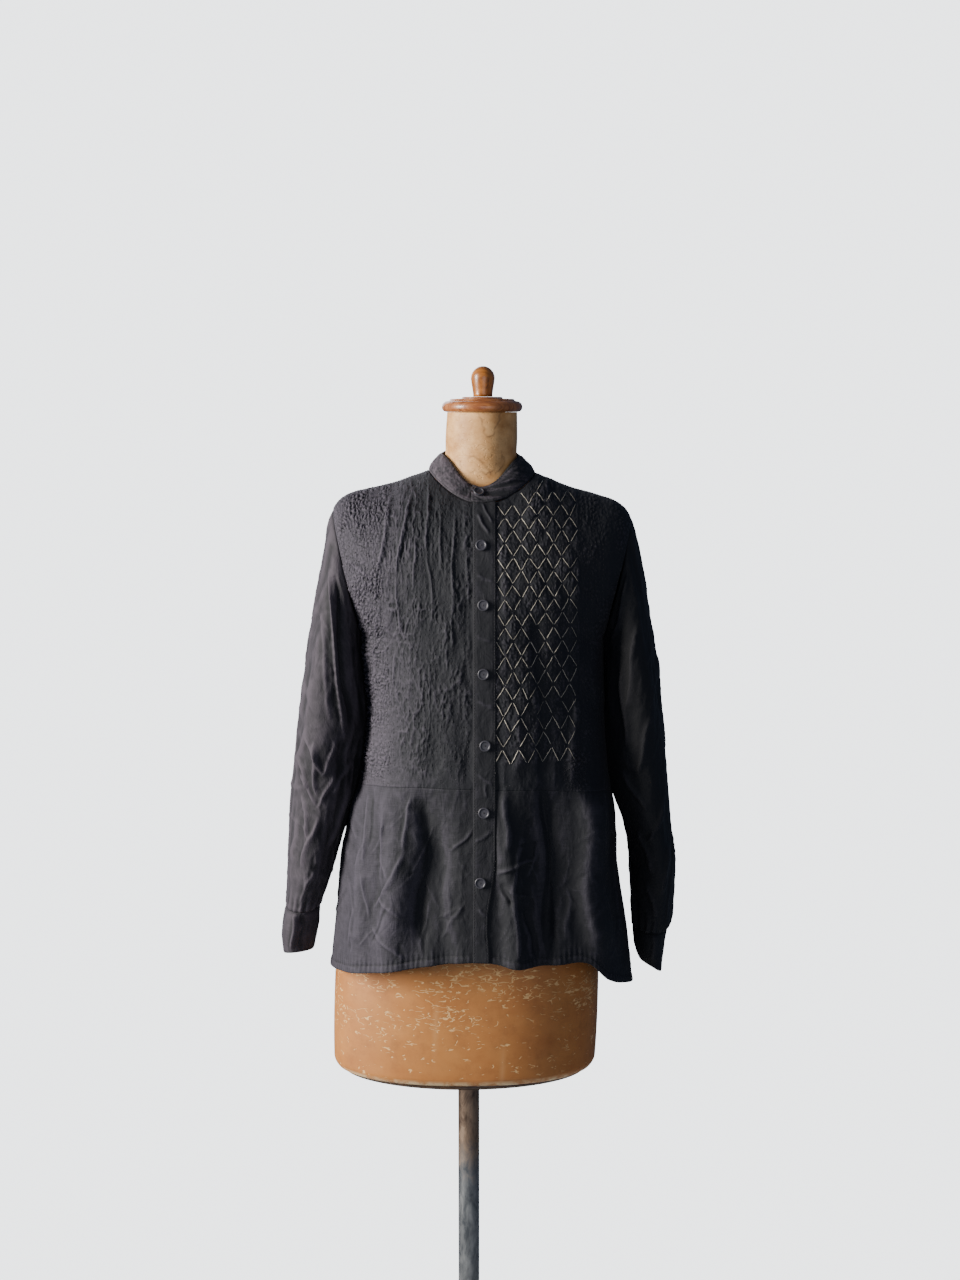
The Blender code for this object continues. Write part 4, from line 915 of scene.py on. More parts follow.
LEFT_LOWER_CREASES = (
    (0.042, 0.983, 0.048, 0.905, 0.0050, 0.0022),
    (0.035, 0.877, 0.082, 0.892, 0.0026, 0.0024, -0.003),
    (0.039, 0.869, 0.053, 0.839, 0.0044, -0.0024),
    (0.066, 0.923, 0.053, 0.845, 0.0034, 0.0016, 0.003),
    (0.051, 0.869, 0.060, 0.766, 0.0034, 0.0022, -0.002),
    (0.095, 0.990, 0.099, 0.770, 0.0140, -0.0095),
    (0.138, 0.990, 0.154, 0.757, 0.0200, 0.0085),
    (0.075, 0.869, 0.087, 0.808, 0.0050, 0.0018),
    (0.069, 0.839, 0.085, 0.772, 0.0060, -0.0036),
    (0.177, 0.917, 0.186, 0.772, 0.0060, 0.0018),
    (0.086, 0.912, 0.070, 0.868, 0.0035, 0.0018),
    (0.124, 0.860, 0.118, 0.790, 0.0060, 0.0016),
)
PEBBLE_FROM = 0.098
QUILT_LOW_Z = 0.990
LATTICE_LEFT_X = 0.0345
LATTICE_RIGHT_X = 0.1325
LATTICE_TOP_Z = 1.349
LATTICE_CELL = 0.0196
LATTICE_HEIGHT = 0.0285
LATTICE_GROWTH = 0.00107
LATTICE_ROWS = 10
LOOSE_LENGTH = (0.016, 0.055)
LOOSE_HEIGHT = (0.0002, 0.0008)
LOOSE_WIDTH = (0.0012, 0.0030)


def ridges(x, z, width, height, sharpness, seed):
    """Crests that fork and join, about a width apart and a height long."""
    return (1.0 - np.abs(soft_noise(x / width, z / height, seed))) ** sharpness


def bark(x, z, seed):
    """Knotted quilting: small rounded lumps with creases between them."""
    aside = 0.0026 * soft_noise(x / 0.005, z / 0.006, seed)
    along = 0.0026 * soft_noise(x / 0.006, z / 0.005, seed + 1)
    large = pebbles(x + aside, z + along, 0.0042, 0.0052, seed + 2)
    small = pebbles(x + along, z - aside, 0.0024, 0.0030, seed + 3)
    height = 0.9 + 0.7 * soft_noise(x / 0.011, z / 0.016, seed + 4)
    return height * (0.0018 * large + 0.0008 * small) - 0.0006


def upright_quilting(x, z, seed):
    """Quilting that pulls the cloth into fine upright ridges which fork and join."""
    aside = 0.0036 * soft_noise(x / 0.016, z / 0.022, seed)
    aside = aside + 0.0012 * soft_noise(x / 0.006, z / 0.007, seed + 1)
    tremble = 0.0011 * soft_noise(x / 0.0028, z / 0.0040, seed + 6)
    coarse = ridges(x + aside, z, 0.0085, 0.034, 3.0, seed + 2)
    middle = ridges(x - 0.5 * aside + tremble, z + aside, 0.0034, 0.0120, 1.5, seed + 3)
    small = ridges(x + 0.7 * aside - tremble, z, 0.0024, 0.0060, 1.3, seed + 5)
    height = 0.9 + 0.7 * soft_noise(x / 0.013, z / 0.026, seed + 4)
    return height * (0.0008 * coarse + 0.0010 * middle + 0.0009 * small) - 0.0012


def loose_creases(count, box, seed):
    """Short creases in the rows' own form, inside a box given as x and z limits. Most run
    down, and each has its own length, width and depth."""
    random = np.random.default_rng(seed)
    rows = []
    for _ in range(count):
        x, z = random.uniform(box[0], box[1]), random.uniform(box[2], box[3])
        lean, length = random.normal(0.0, 0.6), random.uniform(*LOOSE_LENGTH)
        height = random.choice((-1.0, 1.0, 1.0)) * random.uniform(*LOOSE_HEIGHT)
        end = x + length * math.sin(lean), z - length * math.cos(lean)
        rows.append((x, z, *end, random.uniform(*LOOSE_WIDTH), height, random.normal(0.0, 0.0015)))
    return tuple(rows)


def crumpled(x, z, seed):
    """The faceted crumple of washed cotton, without its single creases."""
    warp = 0.005 * soft_noise(x / 0.024, z / 0.030, seed)
    leaning = x + 0.5 * z, z - 0.5 * x
    return (
        0.0016 * ridges(x + warp, z, 0.030, 0.090, 1.3, seed + 1)
        + 0.0007 * ridges(leaning[0] + 2.0 * warp, leaning[1], 0.023, 0.060, 1.2, seed + 2)
        + 0.0006 * ridges(x + 2.0 * warp, z - warp, 0.009, 0.020, 1.3, seed + 5)
        + 0.0004 * ridges(x - warp, z + 0.4 * x, 0.0045, 0.0100, 1.2, seed + 6)
        + 0.0008 * soft_noise(x / 0.030, z / 0.055, seed + 3)
        - 0.0013
    )


RIGHT_LOOSE = loose_creases(34, (-0.165, 0.000, 0.795, 0.975), 401)
LEFT_LOOSE = loose_creases(30, (0.032, 0.190, 0.795, 0.975), 402)


def right_front_relief(x, z):
    """The wearer's right front from the shoulder to the hem, without its sewn edges."""
    out = BLOUSE_X + RIGHT_FRONT_START - x
    wander = 0.010 * soft_noise(x / 0.03, z / 0.03, 5)
    toward = ease((out + wander - PEBBLE_FROM) / 0.020)
    fine = upright_quilting(x, z, 11) * (1.0 - toward) + bark(x, z, 21) * toward
    ragged = 0.016 * soft_noise(x / 0.009, z / 0.060, 31)
    end = QUILT_LOW_Z + ragged - 0.020 * ease((out - 0.085) / 0.015)
    clear = ease((z - end) / 0.026) * ease(out / 0.006 + 0.3)
    broad = creased(x, z, RIGHT_UPPER_CREASES + RIGHT_LOWER_CREASES + RIGHT_LOOSE)
    swell = 0.0012 * soft_noise(x / 0.020, z / 0.060, 41) * ease((z - 0.97) / 0.03)
    return broad + swell + fine * clear + crumpled(x, z, 101) * (1.0 - clear)


def lattice_row(z):
    """How many half cells of the lattice lie above a height."""
    below = np.maximum(LATTICE_TOP_Z - z, 0.0)
    a, b = LATTICE_GROWTH / 2, LATTICE_HEIGHT
    return 2.0 * (-b + np.sqrt(b * b + 4 * a * below)) / (2 * a)


def lattice_height(row):
    cells = row / 2.0
    return LATTICE_TOP_Z - LATTICE_HEIGHT * cells - LATTICE_GROWTH / 2 * cells**2


def left_front_relief(x, z):
    """The wearer's left front from the shoulder to the hem, without its sewn edges."""
    across = (x - LATTICE_LEFT_X) / (LATTICE_CELL / 2)
    row = lattice_row(z)
    puffed = np.abs(np.sin((across + row) * math.pi / 2) * np.sin((across - row) * math.pi / 2)) ** 0.6
    inside = ease((x - LATTICE_LEFT_X + 0.006) / 0.004) * ease((LATTICE_RIGHT_X + 0.004 - x) / 0.004)
    inside = inside * ease((z - 1.004) / 0.016)
    ground = 0.50 * upright_quilting(x, z, 51) + 0.40 * bark(x, z, 61)
    side = ease((x - LATTICE_RIGHT_X) / 0.006) * (0.45 * bark(x, z, 71) + 0.3 * upright_quilting(x, z, 75))
    patch = bump((x - 0.134) / 0.024) * bump((z - 1.002) / 0.042)
    swell = 0.0010 * soft_noise(x / 0.025, z / 0.060, 91) * ease((z - 0.97) / 0.03)
    fine = inside * (0.0012 * puffed + ground) + side * ease((z - 1.01) / 0.03) + 1.3 * patch * bark(x, z, 81)
    plain = 0.9 * crumpled(x, z, 111) * (1.0 - ease((z - 0.995) / 0.035))
    return creased(x, z, LEFT_UPPER_CREASES + LEFT_LOWER_CREASES + LEFT_LOOSE) + swell + fine + plain


# %% Build the two upper fronts
UPPER_COLUMNS = 241
UPPER_ROWS = 331


def waist_seam(distance, across):
    """The waist seam hardly shows: a shallow groove that comes and goes."""
    shown = ease(0.4 + 1.2 * soft_noise(across / 0.02, 0.0 * across, 9))
    return -0.0001 * peak(distance, 0.0013) * shown


def panel(name, side, start, drops, columns, material, relief):
    """A front as a shell with relief and grooves along its sewn edges."""
    share, drop = np.meshgrid(np.linspace(0.0, 1.0, columns), drops)
    base = panel_point(side, 1, share, drop, start)
    normals = grid_normals(base)
    across, down = distances(base)
    rise = relief(base[..., 0], base[..., 2]) * ease((across[:, -1:] - across) / 0.006 + 0.1)
    rise = rise * ease(down / 0.005 + 0.1) * (0.45 + 0.55 * ease(down / 0.035)) + seam_groove(down)
    rise = rise + waist_seam(down[-1:] - down, across) + seam_groove(across[:, -1:] - across)
    return shell(name, base, normals, rise, material)


upper_drops = np.concatenate([np.linspace(0.0, 1.0, 112)[:-1], np.linspace(1.0, 2.0, UPPER_ROWS - 111)])
front_right_upper, right_upper_surface = panel(
    "blouse_front_right_upper", -1, RIGHT_FRONT_START, upper_drops, UPPER_COLUMNS,
    quilted_cotton, right_front_relief,
)
front_left_upper, left_upper_surface = panel(
    "blouse_front_left_upper", 1, LEFT_FRONT_START, upper_drops, UPPER_COLUMNS,
    quilted_cotton, left_front_relief,
)

# %% [markdown]
# ## Lower fronts and back: plain cotton that hangs and creases
#
# Below the waist seam the cotton is plain. It falls in soft flutes, with sharper short
# creases near the hem where it has been folded in a drawer. The hem is turned up twice and
# stitched, which puckers it.

# %% Relief of the back and the hem
BACK_CREASES = (
    (-0.118, 1.230, -0.100, 1.000, 0.0090, 0.0030, 0.006),
    (-0.060, 1.250, -0.072, 1.010, 0.0080, 0.0026, -0.005),
    (0.010, 1.220, 0.004, 0.960, 0.0070, -0.0026, 0.003),
    (0.082, 1.240, 0.070, 0.980, 0.0090, 0.0028, 0.005),
    (0.142, 1.220, 0.118, 1.010, 0.0080, 0.0030, -0.004),
    (-0.140, 1.120, -0.086, 1.062, 0.0040, 0.0026, 0.003),
    (0.168, 1.118, 0.116, 1.058, 0.0042, 0.0026, -0.003),
    (-0.132, 1.060, -0.070, 1.028, 0.0036, 0.0020),
    (0.150, 1.062, 0.092, 1.020, 0.0036, 0.0020),
    (-0.100, 0.960, -0.118, 0.780, 0.0090, 0.0038, 0.004),
    (-0.040, 0.980, -0.052, 0.770, 0.0100, -0.0040),
    (0.020, 0.960, 0.030, 0.760, 0.0090, 0.0034, -0.004),
    (0.082, 0.970, 0.098, 0.765, 0.0100, -0.0042),
    (0.134, 0.950, 0.158, 0.768, 0.0090, 0.0036),
    (-0.080, 0.850, -0.046, 0.812, 0.0035, 0.0020),
    (0.046, 0.862, 0.082, 0.830, 0.0035, 0.0020),
    (-0.010, 0.880, 0.020, 0.820, 0.0035, 0.0018),
    (0.110, 0.842, 0.128, 0.780, 0.0035, 0.0018),
    (-0.142, 0.880, -0.120, 0.840, 0.0035, 0.0018),
)
HEM_BAND = 0.009
HEM_PUCKER = 0.0065


def hem_relief(across, to_edge):
    """The turned-up band, its stitched line and the puckers between the stitches."""
    band = 0.0005 * ease((HEM_BAND - to_edge) / 0.0012 + 0.5)
    line = -0.0006 * peak(to_edge - HEM_BAND, 0.0012)
    beside = peak(to_edge - HEM_BAND, 0.010)
    wave = np.sin(2 * math.pi * across / HEM_PUCKER + 2.5 * soft_noise(across / 0.02, across / 0.05, 7))
    return band + line + 0.0004 * beside * wave


# %% Build the lower fronts and the back
LOWER_COLUMNS = 181
LOWER_ROWS = 145
BACK_HALF_COLUMNS = 103
BACK_ROWS = 211


def lower_panel(name, side, start, relief):
    share, drop = np.meshgrid(np.linspace(0.0, 1.0, LOWER_COLUMNS), np.linspace(2.0, 3.0, LOWER_ROWS))
    base = panel_point(side, 1, share, drop, start)
    normals = grid_normals(base)
    across, down = distances(base)
    to_edge = down[-1:] - down
    rise = relief(base[..., 0], base[..., 2]) * ease((across[:, -1:] - across) / 0.006 + 0.1)
    rise = rise + waist_seam(down, across) + seam_groove(across[:, -1:] - across)
    rise = rise + hem_relief(across, to_edge)
    return shell(name, base, normals, rise, plain_cotton)


front_right_lower, right_lower_surface = lower_panel(
    "blouse_front_right_lower", -1, RIGHT_FRONT_START, right_front_relief
)
front_left_lower, left_lower_surface = lower_panel(
    "blouse_front_left_lower", 1, LEFT_FRONT_START, left_front_relief
)

back_drops = np.concatenate([
    np.linspace(0.0, 1.0, 49)[:-1], np.linspace(1.0, 2.0, 91)[:-1], np.linspace(2.0, 3.0, BACK_ROWS - 138)
])
share, drop = np.meshgrid(np.linspace(0.0, 1.0, BACK_HALF_COLUMNS), back_drops)
right_half = panel_point(-1, -1, share, drop)[:, ::-1]
left_half = panel_point(1, -1, share, drop)
back_base = np.concatenate([right_half, left_half[:, 1:]], axis=1)
back_normals = grid_normals(back_base)
back_across, back_down = distances(back_base)
to_side = np.minimum(back_across, back_across[:, -1:] - back_across)
x, z = back_base[..., 0], back_base[..., 2]
back_loose = loose_creases(90, (-0.150, 0.180, 0.790, 1.250), 403)
back_rise = creased(x, z, BACK_CREASES + back_loose) + 0.8 * crumpled(x, z, 121)
back_rise = back_rise * ease(to_side / 0.008 + 0.1) * ease(back_down / 0.012 + 0.1)
back_rise = back_rise + seam_groove(to_side) + seam_groove(back_down)
back_rise = back_rise + hem_relief(back_across, back_down[-1:] - back_down)
back, back_surface = shell("blouse_back", back_base, back_normals, back_rise, plain_cotton)

# %% [markdown]
# ## Button band and collar
#
# The band is a folded strip of two layers, so it is thicker than the fronts and its edges
# are round. It wears sharp little creases between the buttons. The collar is a strip of two
# layers too, wrapped round the neck, with its right end over its left end.

# %% Build the button band
BAND_COLUMNS = 25
BAND_ROWS = 301
BAND_UNDER = 0.0009
BAND_CREASES = (
    (0.0105, 1.307, 0.0250, 1.283, 0.0022, 0.0016),
    (0.0160, 1.320, 0.0290, 1.296, 0.0016, 0.0012),
    (0.0100, 1.236, 0.0300, 1.228, 0.0022, 0.0009),
    (0.0080, 1.165, 0.0280, 1.158, 0.0020, 0.0008),
    (0.0100, 1.087, 0.0310, 1.078, 0.0022, 0.0010),
    (0.0090, 1.000, 0.0300, 0.985, 0.0022, 0.0010),
    (0.0080, 0.916, 0.0300, 0.930, 0.0022, 0.0012),
    (0.0110, 0.835, 0.0260, 0.824, 0.0022, 0.0010),
    (0.0200, 0.990, 0.0210, 0.970, 0.0020, 0.0008),
)


def surface_at_x(x, drop):
    """The fronts' surface at given x near the centre front, for one drop."""
    shares = np.linspace(0.0, 0.42, 40)
    line = np.concatenate([
        panel_point(-1, 1, shares, np.full(40, drop))[::-1], panel_point(1, 1, shares, np.full(40, drop))[1:]
    ])
    return points(x, np.interp(x, line[:, 0], line[:, 1]), np.interp(x, line[:, 0], line[:, 2]))


band_base = []
for drop in np.linspace(BAND_TOP_DROP, 3.0, BAND_ROWS):
    height = surface_at_x(np.array([BLOUSE_X]), drop)[0, 2]
    right_x = float(read(BAND_EDGE, "height", np.array(height), "x"))
    band_base.append(surface_at_x(np.linspace(BAND_LEFT_X, right_x, BAND_COLUMNS), drop))
band_base = np.array(band_base)
band_normals = grid_normals(band_base)
band_across, _ = distances(band_base)
to_side = np.minimum(band_across, band_across[:, -1:] - band_across)
x, z = band_base[..., 0], band_base[..., 2]
band_rise = creased(x, z, BAND_CREASES) * ease(to_side / 0.004 + 0.2)
band_rise = band_rise + 0.0005 * soft_noise(x / 0.012, z / 0.020, 131)
band_rise = band_rise - 0.0007 * peak(to_side, 0.0008)
band_rise = band_rise - 0.00045 * peak(to_side - 0.0022, 0.0009)
band_inner = np.full(band_rise.shape, BAND_UNDER)
placket, band_surface = shell(
    "blouse_placket", band_base, band_normals, BAND_OUT + band_rise, plain_cotton, inner=band_inner
)

# %% Build the collar
COLLAR_COLUMNS = 301
COLLAR_ROWS = 25
COLLAR_THICKNESS = 0.0015


def collar_edges(turn):
    """The collar's seam and top edge. turn runs from -pi at the centre back round the
    wearer's right to 0 at the centre front and on to pi."""
    side = np.where(turn < 0, -1.0, 1.0)
    in_front = np.abs(turn) <= math.pi / 2
    local = np.where(in_front, np.abs(turn), math.pi - np.abs(turn))
    low_front, low_back = neckline(side, 1, local), neckline(side, -1, local)
    low = np.where(in_front[..., None], low_front, low_back)
    depth = np.where(in_front, -COLLAR_FRONT, COLLAR_BACK)
    cosine = np.cos(local)
    front_rise = -COLLAR_FRONT_DROP * np.abs(cosine) ** COLLAR_NOTCH
    rise = np.where(in_front, front_rise, COLLAR_BACK_RISE * cosine**2)
    x = COLLAR_X + side * COLLAR_HALF_WIDTH * np.sin(local)
    return low, points(x, depth * cosine, COLLAR_SIDE_Z + rise)


degrees = np.linspace(COLLAR_FIRST, COLLAR_LAST, COLLAR_COLUMNS)
turn = np.radians((180.0 - degrees) % 360.0 - 180.0)
low, high = collar_edges(turn)
lapped = ease((degrees - COLLAR_LAP_FIRST) / COLLAR_LAP_LENGTH) * LAP
climb = unit(high - low)
around = unit(points(low[:, 0] - BLOUSE_X, low[:, 1], 0.0))
collar_out = unit(around - climb * (around * climb).sum(axis=1, keepdims=True))
up = np.linspace(0.0, 1.0, COLLAR_ROWS)[:, None, None]
collar_base = low + (high - low) * up
bow = COLLAR_BOW * np.sin(math.pi * up) + lapped[None, :, None]
collar_base = tilted(collar_base + collar_out[None] * bow)
collar_across, collar_down = distances(collar_base)
tall = collar_down[-1:]
to_edge = np.minimum(collar_down, tall - collar_down)
collar_rise = 0.0011 * soft_noise(collar_across / 0.013, collar_down / 0.012, 141)
slanted = collar_across + 0.6 * collar_down
collar_rise = collar_rise + 0.0009 * ridges(slanted, collar_down, 0.009, 0.022, 4, 143)
collar_rise = collar_rise + 0.0006 * ridges(collar_across, collar_down, 0.0045, 0.007, 3, 144)
collar_rise = collar_rise * ease(to_edge / 0.004 + 0.1)
collar_rise = collar_rise - 0.0005 * peak(to_edge, 0.0009)
collar_rise = collar_rise - 0.0004 * peak(to_edge - 0.0024, 0.0009)
collar_normals = np.broadcast_to(collar_out[None], collar_base.shape)
collar_inner = 0.3 * collar_rise - COLLAR_THICKNESS
collar, collar_surface = shell(
    "blouse_collar", collar_base, collar_normals, collar_rise, collar_cotton, inner=collar_inner
)

# %% [markdown]
# ## Sleeves and cuffs
#
# Each sleeve is a tube from the armhole's ring to the cuff. The elbow has folded it many
# times, so short slanting creases gather there, and one long pressed fold runs down the
# front of the wearer's right sleeve.

# %% Sizes of the sleeves
SLEEVE_COLUMNS = 150
SLEEVE_ROWS = 196
CUFF_ROWS = 31
CUFF_UNDER = -0.0014
BEHIND_DROP = 0.012
BEHIND_WIDTH = 1.2
RING = "outer_x outer_z inner_x inner_z half_depth"
RIGHT_SLEEVE = table(
    RING,
    (-0.1750, 1.2900, -0.1350, 1.1480, 0.0660),
    (-0.1795, 1.2600, -0.1358, 1.1330, 0.0690),
    (-0.1870, 1.2200, -0.1342, 1.1130, 0.0720),
    (-0.1950, 1.1750, -0.1315, 1.0880, 0.0740),
    (-0.2040, 1.1180, -0.1298, 1.0580, 0.0740),
    (-0.2120, 1.0600, -0.1306, 1.0230, 0.0720),
    (-0.2185, 1.0080, -0.1350, 0.9900, 0.0700),
    (-0.2235, 0.9600, -0.1440, 0.9560, 0.0680),
    (-0.2265, 0.9120, -0.1565, 0.9120, 0.0640),
    (-0.2290, 0.8760, -0.1670, 0.8760, 0.0600),
    (-0.2300, 0.8380, -0.1790, 0.8380, 0.0550),
    (-0.2325, 0.8060, -0.1900, 0.8060, 0.0480),
)
LEFT_SLEEVE = table(
    RING,
    (0.2065, 1.2860, 0.1715, 1.1410, 0.0660),
    (0.2120, 1.2620, 0.1728, 1.1250, 0.0690),
    (0.2205, 1.2180, 0.1722, 1.1030, 0.0720),
    (0.2275, 1.1750, 0.1722, 1.0780, 0.0740),
    (0.2365, 1.1180, 0.1728, 1.0500, 0.0740),
    (0.2435, 1.0600, 0.1745, 1.0200, 0.0720),
    (0.2480, 1.0080, 0.1782, 0.9900, 0.0700),
    (0.2525, 0.9600, 0.1846, 0.9560, 0.0680),
    (0.2570, 0.9120, 0.1990, 0.9120, 0.0640),
    (0.2610, 0.8760, 0.2050, 0.8760, 0.0600),
    (0.2620, 0.8380, 0.2065, 0.8380, 0.0550),
    (0.2595, 0.7960, 0.2090, 0.7960, 0.0500),
    (0.2535, 0.7780, 0.2105, 0.7790, 0.0480),
)
RIGHT_CUFF = table(
    RING,
    (-0.2325, 0.8060, -0.1900, 0.8060, 0.0480),
    (-0.2380, 0.7820, -0.1925, 0.7820, 0.0465),
    (-0.2392, 0.7620, -0.1965, 0.7620, 0.0460),
    (-0.2372, 0.7430, -0.1992, 0.7470, 0.0455),
)
LEFT_CUFF = table(
    RING,
    (0.2535, 0.7780, 0.2105, 0.7790, 0.0480),
    (0.2500, 0.7580, 0.2120, 0.7620, 0.0465),
    (0.2478, 0.7385, 0.2150, 0.7475, 0.0460),
    (0.2470, 0.7180, 0.2205, 0.7320, 0.0455),
)
RIGHT_SLEEVE_FOLDS = (
    (0.34, 62, 0.30, 34, 0.0060),
    (0.52, 118, 0.10, 50, -0.0060),
    (0.63, 70, 0.08, 60, -0.0050),
    (0.80, 100, 0.16, 34, 0.0050),
    (0.08, 180, 0.36, 60, 0.0050),
    (0.44, 180, 0.36, 50, 0.0054),
    (0.40, -70, 0.28, 36, 0.0060),
    (0.60, -110, 0.09, 55, -0.0060),
)
LEFT_SLEEVE_FOLDS = (
    (0.32, 70, 0.28, 36, 0.0050),
    (0.55, 100, 0.09, 55, -0.0050),
    (0.78, 80, 0.18, 36, 0.0050),
    (0.08, 180, 0.36, 60, 0.0050),
    (0.42, 180, 0.34, 50, 0.0044),
    (0.38, -66, 0.30, 34, 0.0060),
    (0.58, -105, 0.10, 50, -0.0060),
)
RIGHT_SLEEVE_CREASES = (
    (-0.1700, 1.240, -0.1540, 1.025, 0.0022, 0.0040, 0.001),
    (-0.1620, 1.240, -0.1450, 1.040, 0.0060, -0.0050, 0.001),
    (-0.1560, 1.290, -0.146, 1.215, 0.0030, 0.0022),
    (-0.2000, 1.036, -0.180, 0.984, 0.0020, 0.0027),
    (-0.1640, 1.030, -0.180, 0.984, 0.0020, 0.0026),
    (-0.2070, 0.986, -0.187, 0.944, 0.0020, 0.0026),
    (-0.1660, 0.986, -0.187, 0.944, 0.0020, 0.0025),
    (-0.2120, 1.010, -0.196, 0.966, 0.0020, 0.0020),
    (-0.1800, 1.190, -0.1740, 1.060, 0.0030, 0.0012, -0.002),
    (-0.1980, 1.044, -0.215, 0.984, 0.0032, 0.0022),
    (-0.1890, 1.028, -0.188, 0.958, 0.0030, 0.0038, 0.001),
    (-0.1840, 0.933, -0.209, 0.866, 0.0036, 0.0030, 0.002),
    (-0.1500, 0.970, -0.178, 0.890, 0.0040, 0.0028, -0.002),
    (-0.2050, 0.958, -0.199, 0.900, 0.0030, 0.0022),
    (-0.1930, 0.866, -0.205, 0.837, 0.0028, 0.0020),
    (-0.1460, 1.000, -0.170, 0.962, 0.0030, 0.0024),
    (-0.2120, 0.930, -0.222, 0.870, 0.0030, 0.0020),
    (-0.2000, 1.100, -0.209, 1.050, 0.0040, 0.0016),
)
CUFF_LIFT = 0.009
RIGHT_CUFF_CREASES = (
    (-0.2160, 0.812, -0.2230, 0.752, 0.0030, 0.0040),
    (-0.2070, 0.806, -0.2120, 0.756, 0.0050, -0.0030),
)
LEFT_CUFF_CREASES = (
    (0.2075, 0.795, 0.2065, 0.766, 0.0022, -0.0034),
    (0.2300, 0.800, 0.2330, 0.742, 0.0040, 0.0024),
)
LEFT_SLEEVE_CREASES = (
    (0.193, 1.237, 0.178, 1.150, 0.0034, 0.0024, -0.002),
    (0.206, 1.180, 0.196, 1.060, 0.0050, 0.0026, 0.002),
    (0.186, 1.120, 0.196, 1.020, 0.0036, 0.0026),
    (0.222, 1.060, 0.210, 0.980, 0.0040, 0.0022, 0.002),
    (0.190, 0.990, 0.222, 0.940, 0.0032, 0.0026, 0.002),
    (0.244, 0.960, 0.224, 0.900, 0.0034, 0.0024, -0.002),
    (0.210, 0.920, 0.230, 0.860, 0.0036, 0.0024),
    (0.250, 0.900, 0.240, 0.830, 0.0034, 0.0022),
    (0.222, 0.850, 0.236, 0.800, 0.0034, 0.0020),
    (0.236, 1.130, 0.226, 1.080, 0.0040, 0.0016),
)

# %% Build the sleeves and cuffs


def tube_points(rings, along, turn, folds):
    """Points of a sleeve or a cuff and the way out of it. turn runs round it from its
    outer side, through the front."""
    rings = dict(rings, place=np.linspace(0.0, 1.0, len(rings["outer_x"])))
    value = {key: read(rings, "place", along, key) for key in rings if key != "place"}
    outer = points(value["outer_x"], 0.0, value["outer_z"])
    inner = points(value["inner_x"], 0.0, value["inner_z"])
    depth = value["half_depth"]
    arm = (outer - inner) / 2
    cosine, sine = np.cos(turn)[..., None], np.sin(turn)
    point = (outer + inner) / 2 + arm * cosine + points(0.0 * turn, -depth * sine, 0.0 * turn)
    reach = np.linalg.norm(arm, axis=-1, keepdims=True)
    out = unit(arm * cosine / reach**2 + points(0.0 * turn, -sine / depth, 0.0 * turn))
    rise = 0.0
    for place, angle, half_length, half_angle, height in folds:
        off = (np.degrees(turn) - angle + 180.0) % 360.0 - 180.0
        rise = rise + height * bump(off / half_angle) * bump((along - place) / half_length)
    return point + out * np.asarray(rise)[..., None] if folds else point, out


def sleeve(name, side, rings, folds, creases, seed):
    turns = np.linspace(0.0, 2 * math.pi, SLEEVE_COLUMNS, endpoint=False)
    turn, along = np.meshgrid(turns, np.linspace(0.0, 1.0, SLEEVE_ROWS))
    body, _ = tube_points(rings, along, turn, folds)
    front = turns <= math.pi
    local = np.where(front, turns, 2 * math.pi - turns)
    ring = tilted(np.where(front[:, None], armhole(side, 1, local), armhole(side, -1, local)))
    first = [ring + (body[0] - ring) * step / 6 for step in range(6)]
    base = np.concatenate([np.array(first), body])
    normals = grid_normals(base, tube=True)
    x, y, z = base[..., 0], base[..., 1], base[..., 2]
    weight = ease(0.5 - y / 0.05)
    behind = []
    for x1, z1, x2, z2, half_width, height, *bow in creases:
        ends = x1, z1 - BEHIND_DROP, x2, z2 - BEHIND_DROP
        behind.append((*ends, half_width * BEHIND_WIDTH, height, *(-b for b in bow)))
    rise = creased(x, z, creases) * weight + creased(x, z, behind) * (1.0 - weight)
    loose = loose_creases(44, (rings["outer_x"].min(), rings["outer_x"].max(), 0.84, 1.22), seed + 300)
    rise = rise + 1.1 * creased(x + 0.3 * y, z, loose) + 1.2 * crumpled(x + 2.0 * y, z, seed)
    _, down = distances(base, tube=True)
    down = down[:, :-1]
    to_cuff = down[-1:] - down
    gathers = 0.0010 * np.sin(17 * turns)[None] * peak(to_cuff, 0.020)
    rise = (rise + gathers) * ease(down / 0.012 + 0.05) * ease(to_cuff / 0.004 + 0.3)
    rise = rise + 1.3 * seam_groove(down) + seam_groove(to_cuff)
    return shell(name, base, normals, rise, sleeve_cotton, tube=True)[0]


def cuff(name, rings, creases, seed):
    turns = np.linspace(0.0, 2 * math.pi, SLEEVE_COLUMNS, endpoint=False)
    turn, along = np.meshgrid(turns, np.linspace(0.0, 1.0, CUFF_ROWS))
    base, _ = tube_points(rings, along, turn, ())
    base[..., 2] += CUFF_LIFT * np.sin(turn) * ease(along)
    normals = grid_normals(base, tube=True)
    _, down = distances(base, tube=True)
    down = down[:, :-1]
    to_edge = np.minimum(down, down[-1:] - down)
    x, y, z = base[..., 0], base[..., 1], base[..., 2]
    rise = 0.8 * crumpled(x + 2.0 * y, z, seed) + creased(x, z, creases) * ease(0.5 - y / 0.02)
    rise = rise * ease(to_edge / 0.004 + 0.1)
    rise = rise - 0.0005 * peak(to_edge, 0.0010)
    rise = rise - 0.0004 * peak(to_edge - 0.0026, 0.0010)
    inner = np.full(rise.shape, CUFF_UNDER)
    return shell(name, base, normals, rise, sleeve_cotton, tube=True, inner=inner)


